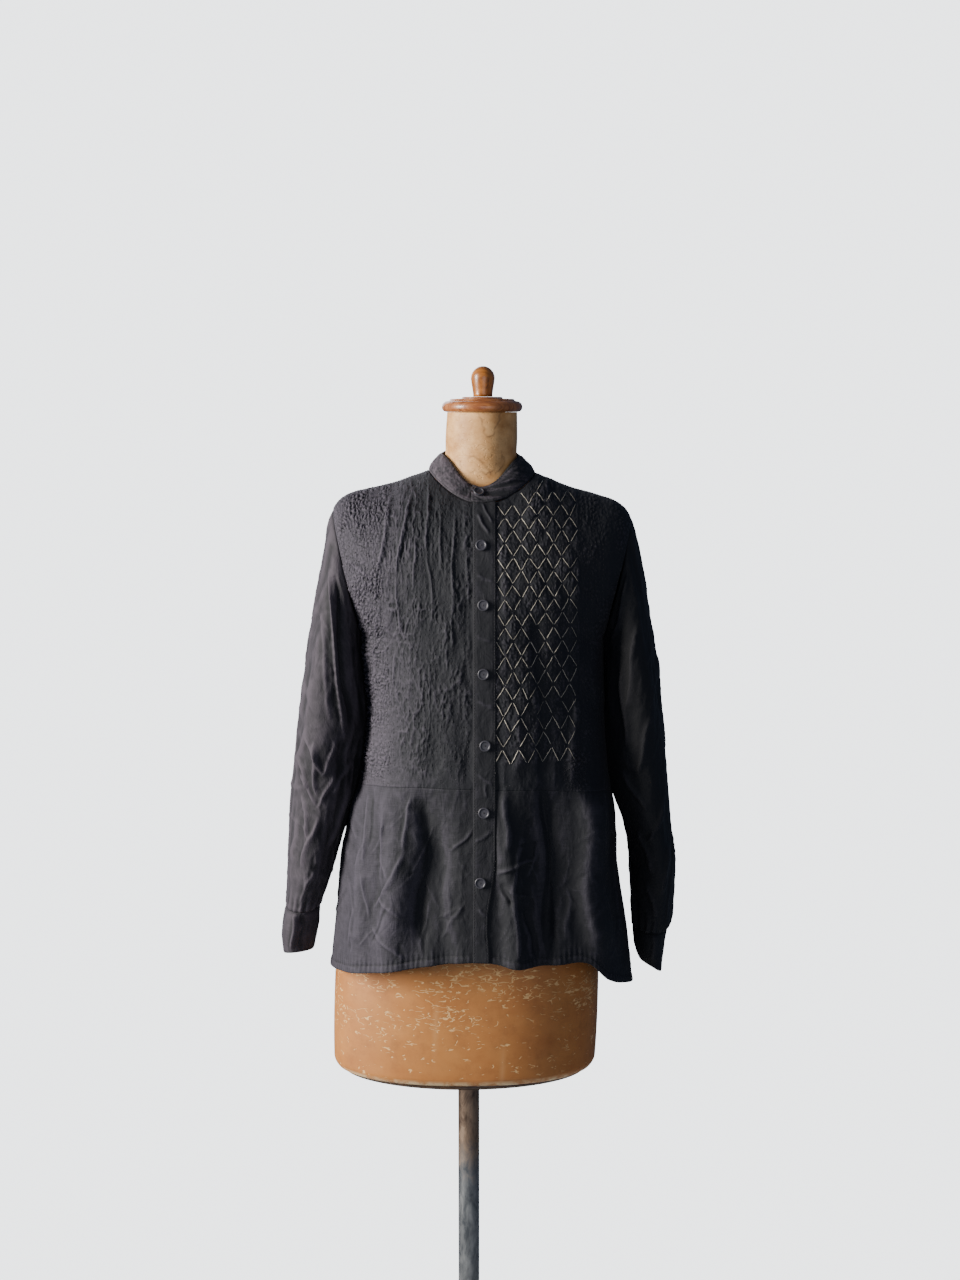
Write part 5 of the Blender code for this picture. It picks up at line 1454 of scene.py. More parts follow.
sleeve_right = sleeve(
    "blouse_sleeve_right", -1, RIGHT_SLEEVE, RIGHT_SLEEVE_FOLDS, RIGHT_SLEEVE_CREASES, 151
)
sleeve_left = sleeve(
    "blouse_sleeve_left", 1, LEFT_SLEEVE, LEFT_SLEEVE_FOLDS, LEFT_SLEEVE_CREASES, 161
)
cuff_right, cuff_right_surface = cuff("blouse_cuff_right", RIGHT_CUFF, RIGHT_CUFF_CREASES, 171)
cuff_left, cuff_left_surface = cuff("blouse_cuff_left", LEFT_CUFF, LEFT_CUFF_CREASES, 181)

# %% [markdown]
# ## Thread
#
# Every stitch is a short line of points that starts just under the cloth, comes up over it
# and goes back down. One Geometry Nodes tree gives all such lines their round body. The
# thickness is a named input, so the same tree makes fine machine stitching, the dark
# quilting and the thick pale stitches.

# %% Make the thread tree


def thread_tree():
    tree = bpy.data.node_groups.new("thread along lines", "GeometryNodeTree")
    face = tree.interface
    face.new_socket("Geometry", in_out="INPUT", socket_type="NodeSocketGeometry")
    radius = face.new_socket("Thread radius", in_out="INPUT", socket_type="NodeSocketFloat")
    sides = face.new_socket("Sides", in_out="INPUT", socket_type="NodeSocketInt")
    colour = face.new_socket("Material", in_out="INPUT", socket_type="NodeSocketMaterial")
    face.new_socket("Geometry", in_out="OUTPUT", socket_type="NodeSocketGeometry")
    given = add(tree, "NodeGroupInput")
    curve = add(tree, "GeometryNodeMeshToCurve", {"Mesh": given.outputs[0]})
    profile = add(
        tree, "GeometryNodeCurvePrimitiveCircle", {"Resolution": given.outputs[2], "Radius": given.outputs[1]}
    )
    body = add(
        tree,
        "GeometryNodeCurveToMesh",
        {"Curve": curve.outputs[0], "Profile Curve": profile.outputs[0], "Fill Caps": True},
    )
    real = add(tree, "GeometryNodeRealizeInstances", {"Geometry": body.outputs[0]})
    finish = add(tree, "GeometryNodeSetMaterial", {"Geometry": real.outputs[0], "Material": given.outputs[3]})
    add(tree, "NodeGroupOutput", {0: finish.outputs[0]})
    return tree, radius.identifier, sides.identifier, colour.identifier


THREAD_TREE, RADIUS_SOCKET, SIDES_SOCKET, MATERIAL_SOCKET = thread_tree()


def baked(obj, name):
    """The object's evaluated shape as a plain mesh object, and the first one removed."""
    evaluated = obj.evaluated_get(bpy.context.evaluated_depsgraph_get())
    mesh = bpy.data.meshes.new_from_object(evaluated)
    mesh.name = name
    bpy.data.objects.remove(obj)
    return finished(name, mesh)


def threads(name, lines, radius, sides, material):
    """Lines, each a short array of points, as one piece of thread work."""
    vertices = np.concatenate(lines)
    edges, at = [], 0
    for line in lines:
        edges += [(at + i, at + i + 1) for i in range(len(line) - 1)]
        at += len(line)
    mesh = bpy.data.meshes.new(name + "_lines")
    mesh.from_pydata(vertices.tolist(), edges, [])
    obj = linked(name + "_lines", mesh)
    modifier = obj.modifiers.new("thread", "NODES")
    modifier.node_group = THREAD_TREE
    modifier[RADIUS_SOCKET] = radius
    modifier[SIDES_SOCKET] = sides
    modifier[MATERIAL_SOCKET] = material
    return baked(obj, name)


def front_finder(objects):
    """Finds the cloth at a given x and z, looking at it from the front."""
    vertices, faces, at = [], [], 0
    for obj in objects:
        vertices += [v.co.copy() for v in obj.data.vertices]
        faces += [[at + i for i in p.vertices] for p in obj.data.polygons]
        at = len(vertices)
    tree = BVHTree.FromPolygons(vertices, faces)

    def find(x, z):
        place, normal, _, _ = tree.ray_cast(Vector((x, -1.0, z)), Vector((0.0, 1.0, 0.0)))
        return place, normal

    return find


def stitch(find, start, end, over, steps, sunk=0.0004):
    """One stitch between two places given as (x, z): under, over the cloth and under."""
    line = []
    for i in range(steps + 1):
        t = i / steps
        place, normal = find(start[0] + (end[0] - start[0]) * t, start[1] + (end[1] - start[1]) * t)
        if place is None or normal.y > -0.15:
            return None
        lift = -sunk if i in (0, steps) else over * math.sin(math.pi * t) ** 0.5
        line.append(tuple(place + normal * lift))
    return np.array(line)


# %% [markdown]
# The dark quilting is sewn in running stitch. Near the band the rows run upright and wander.
# Towards the armhole the stitches lie every way.

# %% Sew the dark quilting of both upper fronts
DARK_RADIUS = 0.00026
RUN_PITCH = 0.0048
RUN_STITCH = 0.0038
RUN_GAP = 0.0022

find_right = front_finder([front_right_upper])
find_left = front_finder([front_left_upper])


def running_rows(find, x_from, x_to, z_from, z_to, seed, keep):
    """Upright rows of running stitch, each wandering from side to side."""
    random = np.random.default_rng(seed)
    lines = []
    for x0 in np.arange(x_from, x_to, RUN_PITCH):
        z = z_from - random.uniform(0.0, 0.004)
        while z > z_to:
            length = RUN_STITCH * random.uniform(0.7, 1.3)
            ends = []
            for height in (z, z - length):
                wander = 0.0030 * soft_noise(np.array(x0 / 0.012), np.array(height / 0.020), seed)
                ends.append((x0 + float(wander) + random.uniform(-0.0005, 0.0005), height))
            if keep(ends[0][0], z, random):
                line = stitch(find, ends[0], ends[1], 0.0003, 2)
                if line is not None:
                    lines.append(line)
            z -= length + RUN_GAP * random.uniform(0.6, 1.5)
    return lines


def scattered(find, count, box, seed, keep, length=0.0030):
    """Short stitches that lie every way inside a box given as x and z limits."""
    random = np.random.default_rng(seed)
    lines = []
    for _ in range(count):
        x, z = random.uniform(box[0], box[1]), random.uniform(box[2], box[3])
        angle, size = random.uniform(0.0, math.pi), length * random.uniform(0.6, 1.3) / 2
        if keep(x, z, random):
            dx, dz = size * math.cos(angle), size * math.sin(angle)
            line = stitch(find, (x - dx, z - dz), (x + dx, z + dz), 0.0004, 2)
            if line is not None:
                lines.append(line)
    return lines


def right_rows_keep(x, z, random):
    low = QUILT_LOW_Z + 0.02 * random.uniform(0.0, 1.0)
    return x > -0.098 and z > low


def bark_keep(x, z, random):
    low = 0.972 + 0.01 * random.uniform(0.0, 1.0)
    return z > low and x < -0.088 - 0.012 * random.uniform(0.0, 1.0)


right_rows = running_rows(find_right, -0.100, 0.0055, 1.345, 0.985, 201, right_rows_keep)
right_bark = scattered(find_right, 2200, (-0.160, -0.085, 0.968, 1.335), 202, bark_keep)
quilting_right = threads("quilting_right", right_rows + right_bark, DARK_RADIUS, 3, dark_thread)


def left_rows_keep(x, z, random):
    return z > 1.016 + 0.01 * random.uniform(0.0, 1.0)


def patch_keep(x, z, random):
    return ((x - 0.132) / 0.020) ** 2 + ((z - 1.000) / 0.034) ** 2 < random.uniform(0.5, 1.0)


left_rows = running_rows(find_left, LATTICE_LEFT_X, 0.166, 1.345, 1.010, 211, left_rows_keep)
left_patch = scattered(find_left, 500, (0.110, 0.154, 0.966, 1.034), 212, patch_keep, 0.0034)
quilting_left = threads("quilting_left", left_rows + left_patch, DARK_RADIUS, 3, dark_thread)

# %% [markdown]
# The pale lattice is a common one: single long stitches cross the front in zigzags and make
# diamonds that get taller towards the waist. It is charted here by its columns and rows. A
# few stitches are left out where the real ones are worn away.

# %% Sew the pale lattice
PALE_RADIUS = 0.00034
LATTICE_GAP = 0.03
LATTICE_SHORT = 0.055
LATTICE_COLUMNS = 10
LATTICE_MISSING = 0.03
WORN_FROM_ROW = 13
WORN_X = (0.070, 0.094)
WORN_MISSING = 0.20
LOW_LEAN = -0.0024
LEAN_ROWS = 7.0
SWAY = 0.0008


def lattice_lines():
    random = np.random.default_rng(221)
    lines = []
    for row in range(-2, 2 * LATTICE_ROWS):
        for column in range(LATTICE_COLUMNS):
            rising = (row + column) % 2
            ends = []
            for step, fall in ((LATTICE_GAP, LATTICE_SHORT), (1.0 - LATTICE_GAP, 1.0 - LATTICE_SHORT)):
                across = column + step
                down = row + (1.0 - fall if rising else fall)
                sway = SWAY * random.uniform(-1.0, 1.0)
                lean = LOW_LEAN * ease(np.array((down - WORN_FROM_ROW) / LEAN_ROWS))
                x = LATTICE_LEFT_X + across * LATTICE_CELL / 2 + sway + float(lean)
                ends.append((x, lattice_height(down) + SWAY * random.uniform(-1.0, 1.0)))
            worn = LATTICE_MISSING
            if row > WORN_FROM_ROW and WORN_X[0] < ends[0][0] < WORN_X[1]:
                worn = WORN_MISSING
            if random.uniform() < worn:
                continue
            line = stitch(find_left, ends[0], ends[1], 0.0007, 5, 0.0005)
            if line is not None:
                lines.append(line)
    return lines


pale_lines = lattice_lines()
lattice = threads("pale_lattice", pale_lines, PALE_RADIUS, 6, pale_thread)
print("lattice stitches:", len(pale_lines))

# %% [markdown]
# Machine stitching runs along the band, the collar, the hem, the cuffs, the outer edges of
# the upper fronts and the top of the back, and follows a grid line of each piece. Three short
# lines of it hold the ends of the quilting beside the waist seam.

# %% Sew the machine stitching
MACHINE_RADIUS = 0.00026
MACHINE_STITCH = 0.0028
MACHINE_GAP = 0.0007


def machine_stitches(line, normals):
    """Stitches along a line of points on the cloth."""
    steps = np.linalg.norm(np.diff(line, axis=0), axis=1)
    travelled = np.concatenate([[0.0], np.cumsum(steps)])
    lines = []
    for start in np.arange(MACHINE_GAP, travelled[-1] - MACHINE_STITCH, MACHINE_STITCH + MACHINE_GAP):
        at = start + np.array([0.0, 0.5, 1.0]) * MACHINE_STITCH
        place = np.stack([np.interp(at, travelled, line[:, k]) for k in range(3)], axis=1)
        out = np.stack([np.interp(at, travelled, normals[:, k]) for k in range(3)], axis=1)
        lines.append(place + out * np.array([-0.0002, 0.0003, -0.0002])[:, None])
    return lines


def at_distance(grid, normals, distance, side):
    """The line on a grid at a distance in from one of its sides."""
    if side in ("top", "bottom"):
        grid, normals = np.swapaxes(grid, 0, 1), np.swapaxes(normals, 0, 1)
    if side in ("bottom", "last"):
        grid, normals = grid[:, ::-1], normals[:, ::-1]
    steps = np.linalg.norm(np.diff(grid, axis=1), axis=2)
    travelled = np.concatenate([np.zeros((len(grid), 1)), np.cumsum(steps, axis=1)], axis=1)
    line, out = [], []
    for row in range(len(grid)):
        line.append([np.interp(distance, travelled[row], grid[row, :, k]) for k in range(3)])
        out.append([np.interp(distance, travelled[row], normals[row, :, k]) for k in range(3)])
    return np.array(line), np.array(out)


STITCHED = (
    (band_surface, 0.0022, "first", "last"),
    (collar_surface, 0.0024, "top", "bottom"),
    (right_upper_surface, 0.0040, "last"),
    (left_upper_surface, 0.0040, "last"),
    (right_lower_surface, HEM_BAND, "bottom"),
    (left_lower_surface, HEM_BAND, "bottom"),
    (back_surface, HEM_BAND, "bottom"),
    (back_surface, 0.0040, "top"),
    (cuff_right_surface, 0.0026, "top", "bottom"),
    (cuff_left_surface, 0.0026, "top", "bottom"),
)
SHORT_LINES = ((-0.094, -0.057, 0.992), (-0.090, -0.060, 0.978), (0.035, 0.053, 0.985))
machine_lines = []
for surface, distance, *sides in STITCHED:
    for side in sides:
        machine_lines += machine_stitches(*at_distance(*surface, distance, side))
find_front = front_finder([front_right_upper, front_right_lower, front_left_upper, front_left_lower])
for x_from, x_to, z in SHORT_LINES:
    for x in np.arange(x_from, x_to, MACHINE_STITCH + MACHINE_GAP):
        line = stitch(find_front, (x, z), (x + MACHINE_STITCH, z), 0.0003, 2)
        if line is not None:
            machine_lines.append(line)
machine_stitching = threads("machine_stitching", machine_lines, MACHINE_RADIUS, 3, dark_thread)

# %% [markdown]
# ## Buttons and buttonholes
#
# A turned button has a rounded rim and a dished middle, where crossing threads hold it. One
# is made by turning a profile, and Geometry Nodes set seven of them on the collar and the
# band, each facing straight out of the cloth. The buttonholes are worked level, with close
# stitches round a slit, and show beside each button of the band.

# %% Turn a profile into a solid


def lathe(name, profile, sides, place, material):
    """A closed solid of revolution about the upright axis, from (radius, height) pairs that
    run from the axis at the top, down the outer side, to the axis at the bottom."""
    build = bmesh.new()
    rings = []
    for radius, height in profile:
        if radius == 0.0:
            rings.append([build.verts.new((place[0], place[1], place[2] + height))])
            continue
        ring = []
        for i in range(sides):
            angle = 2 * math.pi * i / sides
            x, y = radius * math.cos(angle), radius * math.sin(angle)
            ring.append(build.verts.new((place[0] + x, place[1] + y, place[2] + height)))
        rings.append(ring)
    for a, b in zip(rings, rings[1:]):
        for i in range(sides):
            j = (i + 1) % sides
            corners = [a[i % len(a)], a[j % len(a)], b[j % len(b)], b[i % len(b)]]
            build.faces.new(list(dict.fromkeys(corners)))
    bmesh.ops.recalc_face_normals(build, faces=build.faces)
    mesh = bpy.data.meshes.new(name)
    build.to_mesh(mesh)
    build.free()
    mesh.materials.append(material)
    return finished(name, mesh)


def rounded(profile, radius, steps=3):
    """A profile with its corners rounded, each by arcs no longer than its neighbours."""
    result = [profile[0]]
    for before, here, after in zip(profile, profile[1:], profile[2:]):
        a, b, c = np.array(before), np.array(here), np.array(after)
        reach = min(radius, 0.4 * np.linalg.norm(a - b), 0.4 * np.linalg.norm(c - b))
        start, end = b + (a - b) / np.linalg.norm(a - b) * reach, b + (c - b) / np.linalg.norm(c - b) * reach
        for i in range(steps + 1):
            t = i / steps
            p = (1 - t) ** 2 * start + 2 * t * (1 - t) * b + t**2 * end
            result.append((float(p[0]), float(p[1])))
    return result + [profile[-1]]


# %% Make the buttons
BUTTON_PROFILE = (
    (0.0, 0.0018), (0.0040, 0.0018), (0.0047, 0.0021), (0.0053, 0.0028), (0.0063, 0.0028),
    (0.0070, 0.0021), (0.0068, 0.0008), (0.0061, 0.0), (0.0, 0.0),
)
BUTTONS = (
    (0.0125, 1.333), (0.0160, 1.272), (0.0185, 1.202), (0.0185, 1.120), (0.0205, 1.034),
    (0.0193, 0.953), (0.0150, 0.868),
)
BUTTON_SEAT = 0.0004
PROBES = ((-0.005, 0), (0.005, 0), (0, -0.005), (0, 0.005))
find_band = front_finder([placket, collar])

one_button = lathe("one_button", rounded(BUTTON_PROFILE, 0.0004), 40, (0.0, 0.0, 0.0), resin)
seats, faces_out = [], []
for x, height in BUTTONS:
    place, _ = find_band(x, height)
    around = [find_band(x + dx, height + dz)[0] for dx, dz in PROBES]
    normal = (around[1] - around[0]).cross(around[3] - around[2]).normalized()
    reach = max((p - place).dot(normal) for p in around)
    seats.append(place + normal * (max(reach, 0.0) + BUTTON_SEAT))
    faces_out.append(normal)
print("button seats:", [tuple(round(c, 4) for c in s) for s in seats])


def seated_tree():
    """Sets one object on every point, turned to the point's 'facing' direction."""
    tree = bpy.data.node_groups.new("one object on each point", "GeometryNodeTree")
    face = tree.interface
    face.new_socket("Geometry", in_out="INPUT", socket_type="NodeSocketGeometry")
    what = face.new_socket("Object", in_out="INPUT", socket_type="NodeSocketObject")
    colour = face.new_socket("Material", in_out="INPUT", socket_type="NodeSocketMaterial")
    face.new_socket("Geometry", in_out="OUTPUT", socket_type="NodeSocketGeometry")
    given = add(tree, "NodeGroupInput")
    facing = add(tree, "GeometryNodeInputNamedAttribute", {"Name": "facing"}, data_type="FLOAT_VECTOR")
    turned = add(tree, "FunctionNodeAlignRotationToVector", {"Vector": facing.outputs[0]}, axis="Z")
    item = add(tree, "GeometryNodeObjectInfo", {"Object": given.outputs[1]})
    placed = add(
        tree,
        "GeometryNodeInstanceOnPoints",
        {"Points": given.outputs[0], "Instance": item.outputs["Geometry"], "Rotation": turned.outputs[0]},
    )
    real = add(tree, "GeometryNodeRealizeInstances", {"Geometry": placed.outputs[0]})
    finish = add(tree, "GeometryNodeSetMaterial", {"Geometry": real.outputs[0], "Material": given.outputs[2]})
    add(tree, "NodeGroupOutput", {0: finish.outputs[0]})
    return tree, what.identifier, colour.identifier


SEATED_TREE, OBJECT_SOCKET, SEATED_MATERIAL_SOCKET = seated_tree()


def seated(name, item, places, directions, material):
    mesh = bpy.data.meshes.new(name + "_points")
    mesh.from_pydata([tuple(p) for p in places], [], [])
    facing = mesh.attributes.new("facing", "FLOAT_VECTOR", "POINT")
    facing.data.foreach_set("vector", np.array([tuple(d) for d in directions], np.float32).ravel())
    obj = linked(name + "_points", mesh)
    modifier = obj.modifiers.new("seats", "NODES")
    modifier.node_group = SEATED_TREE
    modifier[OBJECT_SOCKET] = item
    modifier[SEATED_MATERIAL_SOCKET] = material
    return baked(obj, name)


buttons = seated("buttons", one_button, seats, faces_out, resin)
bpy.data.objects.remove(one_button)

# %% Sew the buttons on and work the buttonholes
SEWN_SPREAD = 0.0013
SEWN_HEIGHT = 0.0019
SEWN_FALL = 0.0006
SLIT_LENGTH = 0.0160
SLIT_HALF_WIDTH = 0.0009


def sewing_lines():
    """Two crossing bars of thread in the dish of each button."""
    lines = []
    for place, normal in zip(seats, faces_out):
        across = Vector((0.0, 0.0, 1.0)).cross(normal).normalized()
        upright = normal.cross(across)
        for a, b in ((1, 1), (1, -1)):
            step = (across * a + upright * b) * SEWN_SPREAD
            top = place + normal * SEWN_HEIGHT
            first, last = top - step - normal * SEWN_FALL, top + step - normal * SEWN_FALL
            lines.append(np.array([tuple(first), tuple(top), tuple(last)]))
    return lines


def buttonhole_lines():
    """Close upright stitches along both lips of each level slit."""
    lines = []
    for x, height in BUTTONS[1:]:
        for offset in np.arange(-SLIT_LENGTH * 0.62, SLIT_LENGTH * 0.38, 0.00075):
            for lip in (-1, 1):
                start = (x + offset, height + lip * 0.0002)
                end = (x + offset, height + lip * (0.0002 + 2 * SLIT_HALF_WIDTH))
                line = stitch(find_band, start, end, 0.0003, 2)
                if line is not None:
                    lines.append(line)
    return lines


button_thread = threads("button_thread", sewing_lines(), 0.00045, 5, dark_thread)
buttonholes = threads("buttonholes", buttonhole_lines(), 0.00030, 3, dark_thread)

# %% [markdown]
# ## The dress form
#
# The body is one smooth papier-mache shell, covered with skin in gores, so faint upright
# joins show. Its rings are those of the solid, read more finely. Two attributes carry what the finish needs
# to know: where the paler neck begins, and where water has stained it and the neck's right side is darker.

# %% Build the form's body and neck
FORM_BOTTOM_Z = 0.6000
NECK_TOP_Z = 1.4300
FORM = table(
    "height half_width front back",
    (0.6000, 0.1600, 0.1010, 0.1010),
    (0.6030, 0.1645, 0.1050, 0.1050),
    (0.6110, 0.1680, 0.1080, 0.1080),
    (0.7000, 0.1690, 0.1100, 0.1100),
    (0.7600, 0.1660, 0.1080, 0.1090),
    (0.8400, 0.1520, 0.1020, 0.1030),
    (0.9200, 0.1290, 0.0950, 0.0910),
    (0.9900, 0.1180, 0.0920, 0.0840),
    (1.0500, 0.1200, 0.0960, 0.0850),
    (1.1200, 0.1310, 0.1070, 0.0930),
    (1.1800, 0.1420, 0.1130, 0.0990),
    (1.2300, 0.1530, 0.1040, 0.0970),
    (1.2700, 0.1620, 0.0860, 0.0880),
    (1.3000, 0.1610, 0.0640, 0.0730),
    (1.3180, 0.1500, 0.0510, 0.0620),
    (1.3290, 0.1310, 0.0468, 0.0550),
    (1.3390, 0.0945, 0.0460, 0.0520),
    (1.3480, 0.0640, 0.0455, 0.0500),
    (1.3580, 0.0500, 0.0450, 0.0480),
    (1.3720, 0.0448, 0.0448, 0.0455),
    (1.4000, 0.0446, 0.0445, 0.0445),
    (1.4300, 0.0434, 0.0434, 0.0434),
)
FORM_LOW_X = -0.0055
FORM_TOP_X = 0.0172
FORM_TILT_Z = 0.650
FORM_TILT_LENGTH = 0.300
FORM_NECK_LEVEL = 0.040
FORM_COLUMNS = 216
FORM_SQUARE = 0.3
NECK_COLOUR_Z = 1.335
GORES = (-0.040, 0.042)
STAIN_LINES = (
    ((0.0132, 1.4292), (0.0156, 1.4196), (0.0193, 1.4064), (0.0241, 1.4004), (0.0302, 1.4010),
     (0.0338, 1.4112), (0.0399, 1.4292)),
    ((-0.0014, 1.3752), (0.0071, 1.3764), (0.0156, 1.3704), (0.0229, 1.3620), (0.0278, 1.3548)),
    ((0.0022, 1.3572), (0.0071, 1.3608), (0.0120, 1.3560), (0.0168, 1.3584), (0.0217, 1.3548),
     (0.0265, 1.3572), (0.0314, 1.3596), (0.0338, 1.3668)),
    ((0.0338, 1.3548), (0.0399, 1.3596), (0.0436, 1.3692), (0.0411, 1.3812)),
    ((-0.0090, 1.3700), (-0.0075, 1.3640)),
)


def form_points(height, turn):
    share = (height - FORM["height"][0]) / (FORM["height"][-1] - FORM["height"][0])
    centre = FORM_LOW_X + (FORM_TOP_X - FORM_LOW_X) * share
    lean = TILT * ease((height - FORM_TILT_Z) / FORM_TILT_LENGTH)
    lean = lean * ease((NECK_TOP_Z - height) / FORM_NECK_LEVEL)
    square = 2.0 / (2.0 + FORM_SQUARE * ease((0.88 - height) / 0.20))
    cosine = np.sign(np.cos(turn)) * np.abs(np.cos(turn)) ** square
    sine = np.sign(np.sin(turn)) * np.abs(np.sin(turn)) ** square
    x = read(FORM, "height", height, "half_width") * cosine
    depth = np.where(sine > 0, read(FORM, "height", height, "back"), read(FORM, "height", height, "front"))
    return points(centre + x, depth * sine, height - lean * x)


def line_mark(x, z, x1, z1, x2, z2, half_width):
    """1 on a short line, fading to 0 beside it."""
    dx, dz = x2 - x1, z2 - z1
    t = np.clip(((x - x1) * dx + (z - z1) * dz) / (dx * dx + dz * dz), 0.0, 1.0)
    away = np.hypot(x - x1 - t * dx, z - z1 - t * dz)
    return peak(away, half_width)


def form_body():
    heights = np.concatenate([
        np.linspace(0.6000, 0.6160, 14)[:-1],
        np.linspace(0.6160, 0.7900, 26)[:-1],
        np.linspace(0.7900, 1.3300, 28)[:-1],
        np.linspace(1.3300, NECK_TOP_Z, 76),
    ])
    turns = np.linspace(0.0, 2 * math.pi, FORM_COLUMNS, endpoint=False)
    turn, height = np.meshgrid(turns, heights)
    grid = form_points(height, turn)
    x, y, z = grid[..., 0], grid[..., 1], grid[..., 2]
    wander = 0.0016 * soft_noise(x / 0.005, z / 0.005, 301)
    lift = 0.0014 * soft_noise(x / 0.005, z / 0.005, 302)
    stains_and_dark_side = np.zeros_like(x)
    for line in STAIN_LINES:
        for (x1, z1), (x2, z2) in zip(line, line[1:]):
            stains_and_dark_side = np.maximum(stains_and_dark_side, line_mark(x + wander, z + lift, x1, z1, x2, z2, 0.0012))
    stains_and_dark_side = stains_and_dark_side * (0.65 + 0.35 * soft_noise(x / 0.004, z / 0.004, 303))
    # The right side of the neck's front is made darker, in blotches, and kept with the water marks.
    uneven = 0.5 + 0.5 * soft_noise(x / 0.006, z / 0.012, 304)
    shade = ease((x - 0.030) / 0.020) * ease((1.425 - z) / 0.01) * uneven
    stains_and_dark_side = np.maximum(stains_and_dark_side, 0.45 * shade) * (y < 0)
    seam = np.zeros_like(x)
    for place in GORES:
        seam = np.maximum(seam, peak(x - place, 0.0011))
    neck = ease((z - NECK_COLOUR_Z) / 0.012)
    seam = seam * (1.0 - neck)
    rows = len(heights)
    index = np.arange(rows * FORM_COLUMNS).reshape(rows, FORM_COLUMNS)
    wide = np.concatenate([index, index[:, :1]], axis=1)
    faces = np.stack(
        [wide[:-1, :-1].ravel(), wide[:-1, 1:].ravel(), wide[1:, 1:].ravel(), wide[1:, :-1].ravel()], axis=1
    ).tolist()
    faces.append(index[0, ::-1].tolist())
    faces.append(index[-1].tolist())
    mesh = bpy.data.meshes.new("dress_form_body")
    mesh.from_pydata(grid.reshape(-1, 3).tolist(), [], faces)
    for name, values in (("stains_and_dark_side", stains_and_dark_side), ("neck", neck), ("seam", seam)):
        attribute = mesh.attributes.new(name, "FLOAT", "POINT")
        attribute.data.foreach_set("value", values.ravel().astype(np.float32))
    mesh.materials.append(skin)
    return finished("dress_form_body", mesh)


form = form_body()

# %% [markdown]
# ## Cap, knob, board, pipe and foot
#
# These are turned or drawn pieces, so each is a profile turned about its axis, finer than
# its solid and with its edges eased as a turner's chisel or a casting leaves them.

# %% Turn the wooden and metal pieces
FORM_GAP = 0.0003
CAP_LOW = NECK_TOP_Z + FORM_GAP
CAP = (
    (0.0000, 0.0185), (0.0240, 0.0185), (0.0252, 0.0176), (0.0254, 0.0164), (0.0388, 0.0160),
    (0.0400, 0.0150), (0.0404, 0.0138), (0.0455, 0.0128), (0.0487, 0.0104), (0.0500, 0.0070),
    (0.0496, 0.0036), (0.0478, 0.0010), (0.0440, 0.0000), (0.0000, 0.0000),
)
KNOB_RADIUS = 0.0148
KNOB_HEIGHT = 0.0375
KNOB_SHIFT = 0.0008
KNOB_STEM = (
    (0.0141, 0.0165), (0.0133, 0.0120), (0.0125, 0.0070), (0.0120, 0.0030), (0.0120, 0.0000), (0.0, 0.0),
)
FOOT_TOP_Z = 0.061
FOOT = (
    (0.0000, FOOT_TOP_Z), (0.0224, FOOT_TOP_Z), (0.0250, 0.0580), (0.0320, 0.0220), (0.0400, 0.0160),
    (0.1880, 0.0100), (0.1970, 0.0070), (0.2000, 0.0040), (0.1970, 0.0000), (0.0000, 0.0000),
)
BOARD_THICKNESS = 0.006
BOARD_INSET = 0.004
POLE_RADIUS = 0.0136

neck_cap = lathe("wooden_cap", rounded(CAP, 0.0008), 120, (FORM_TOP_X, 0.0, CAP_LOW), cap_wood)
ball = [(0.0, KNOB_HEIGHT)]
for step in range(1, 18):
    turn = math.pi * step / 30
    ball.append((KNOB_RADIUS * math.sin(turn), KNOB_HEIGHT - KNOB_RADIUS + KNOB_RADIUS * math.cos(turn)))
knob_place = (FORM_TOP_X + KNOB_SHIFT, 0.0, CAP_LOW + CAP[0][1] + FORM_GAP)
knob = lathe("wooden_knob", ball + list(KNOB_STEM), 96, knob_place, knob_wood)
board_top = FORM_BOTTOM_Z - FORM_GAP
board_profile = ((0.0, 0.0), (1.0, 0.0), (1.0, -BOARD_THICKNESS), (0.0, -BOARD_THICKNESS))
board = lathe("bottom_board", board_profile, 160, (0.0, 0.0, 0.0), board_wood)
half_width, half_depth = FORM["half_width"][0] - BOARD_INSET, FORM["front"][0] - BOARD_INSET
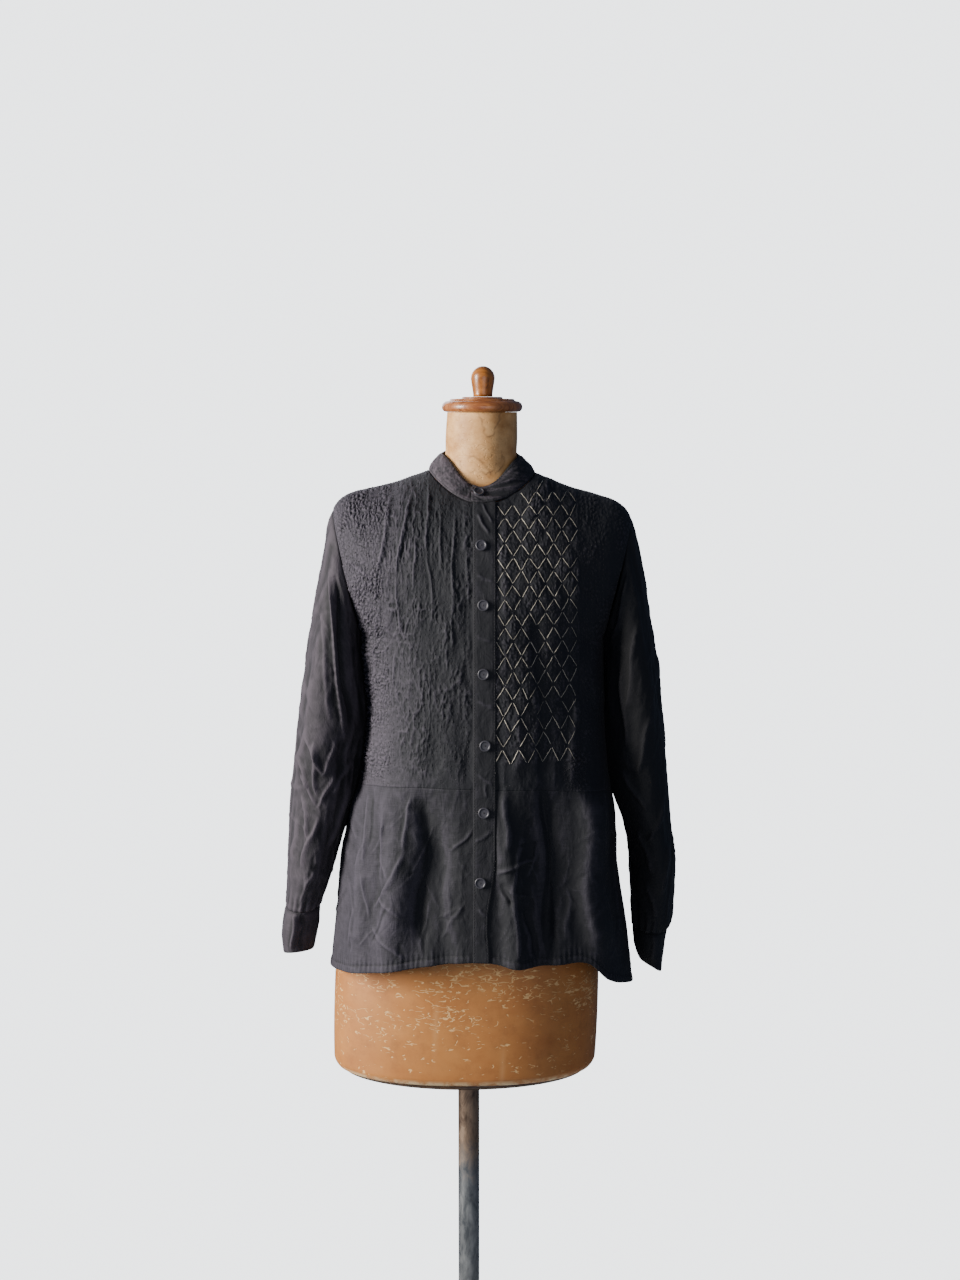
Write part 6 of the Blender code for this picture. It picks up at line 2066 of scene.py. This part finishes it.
for vertex in board.data.vertices:
    vertex.co = (FORM_LOW_X + vertex.co.x * half_width, vertex.co.y * half_depth, board_top + vertex.co.z)
pole_top = board_top - BOARD_THICKNESS - FORM_GAP
pole_low = FOOT_TOP_Z + FORM_GAP
pole_profile = ((0.0, pole_top), (POLE_RADIUS, pole_top), (POLE_RADIUS, pole_low), (0.0, pole_low))
pole = lathe("steel_pipe", rounded(pole_profile, 0.0006), 96, (0.0, 0.0, 0.0), steel)
foot = lathe("iron_foot", rounded(FOOT, 0.0015), 160, (0.0, 0.0, 0.0), iron)

# %% [markdown]
# ## Hand the pieces over
#
# Each piece rides on the part and stands for its solid, which is hidden.

# %% Hand every piece over
hand_over(front_right_upper, "embroidered_cotton", "front_right_upper")
hand_over(front_left_upper, "embroidered_cotton", "front_left_upper")
hand_over(front_right_lower, "dark_cotton", "front_right_lower")
hand_over(front_left_lower, "dark_cotton", "front_left_lower")
hand_over(back, "dark_cotton", "back")
hand_over(placket, "dark_cotton", "placket")
hand_over(collar, "dark_cotton", "collar")
hand_over(sleeve_right, "dark_cotton", "sleeve_right")
hand_over(sleeve_left, "dark_cotton", "sleeve_left")
hand_over(cuff_right, "dark_cotton", "cuff_right")
hand_over(cuff_left, "dark_cotton", "cuff_left")
hand_over(buttons, "dark_button", *[f"button_{number}" for number in range(1, 8)])
hand_over(form, "form_skin", "form_torso")
hand_over(neck_cap, "turned_wood", "neck_cap")
hand_over(knob, "turned_wood", "knob")
hand_over(board, "board_wood", "bottom_board")
hand_over(pole, "pipe_steel", "pole")
hand_over(foot, "foot_iron", "base")
for piece in (quilting_right, quilting_left, lattice):
    hand_over(piece, "embroidered_cotton")
for piece in (machine_stitching, button_thread, buttonholes):
    hand_over(piece, "dark_cotton")

# %% Print the visual box and the triangle count
low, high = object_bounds()
print("visual box:", tuple(low), tuple(high))
total = 0
for obj in bpy.data.objects:
    if obj.type == "MESH":
        obj.data.calc_loop_triangles()
        total += len(obj.data.loop_triangles)
print("triangles in all, with the packed solids:", total)
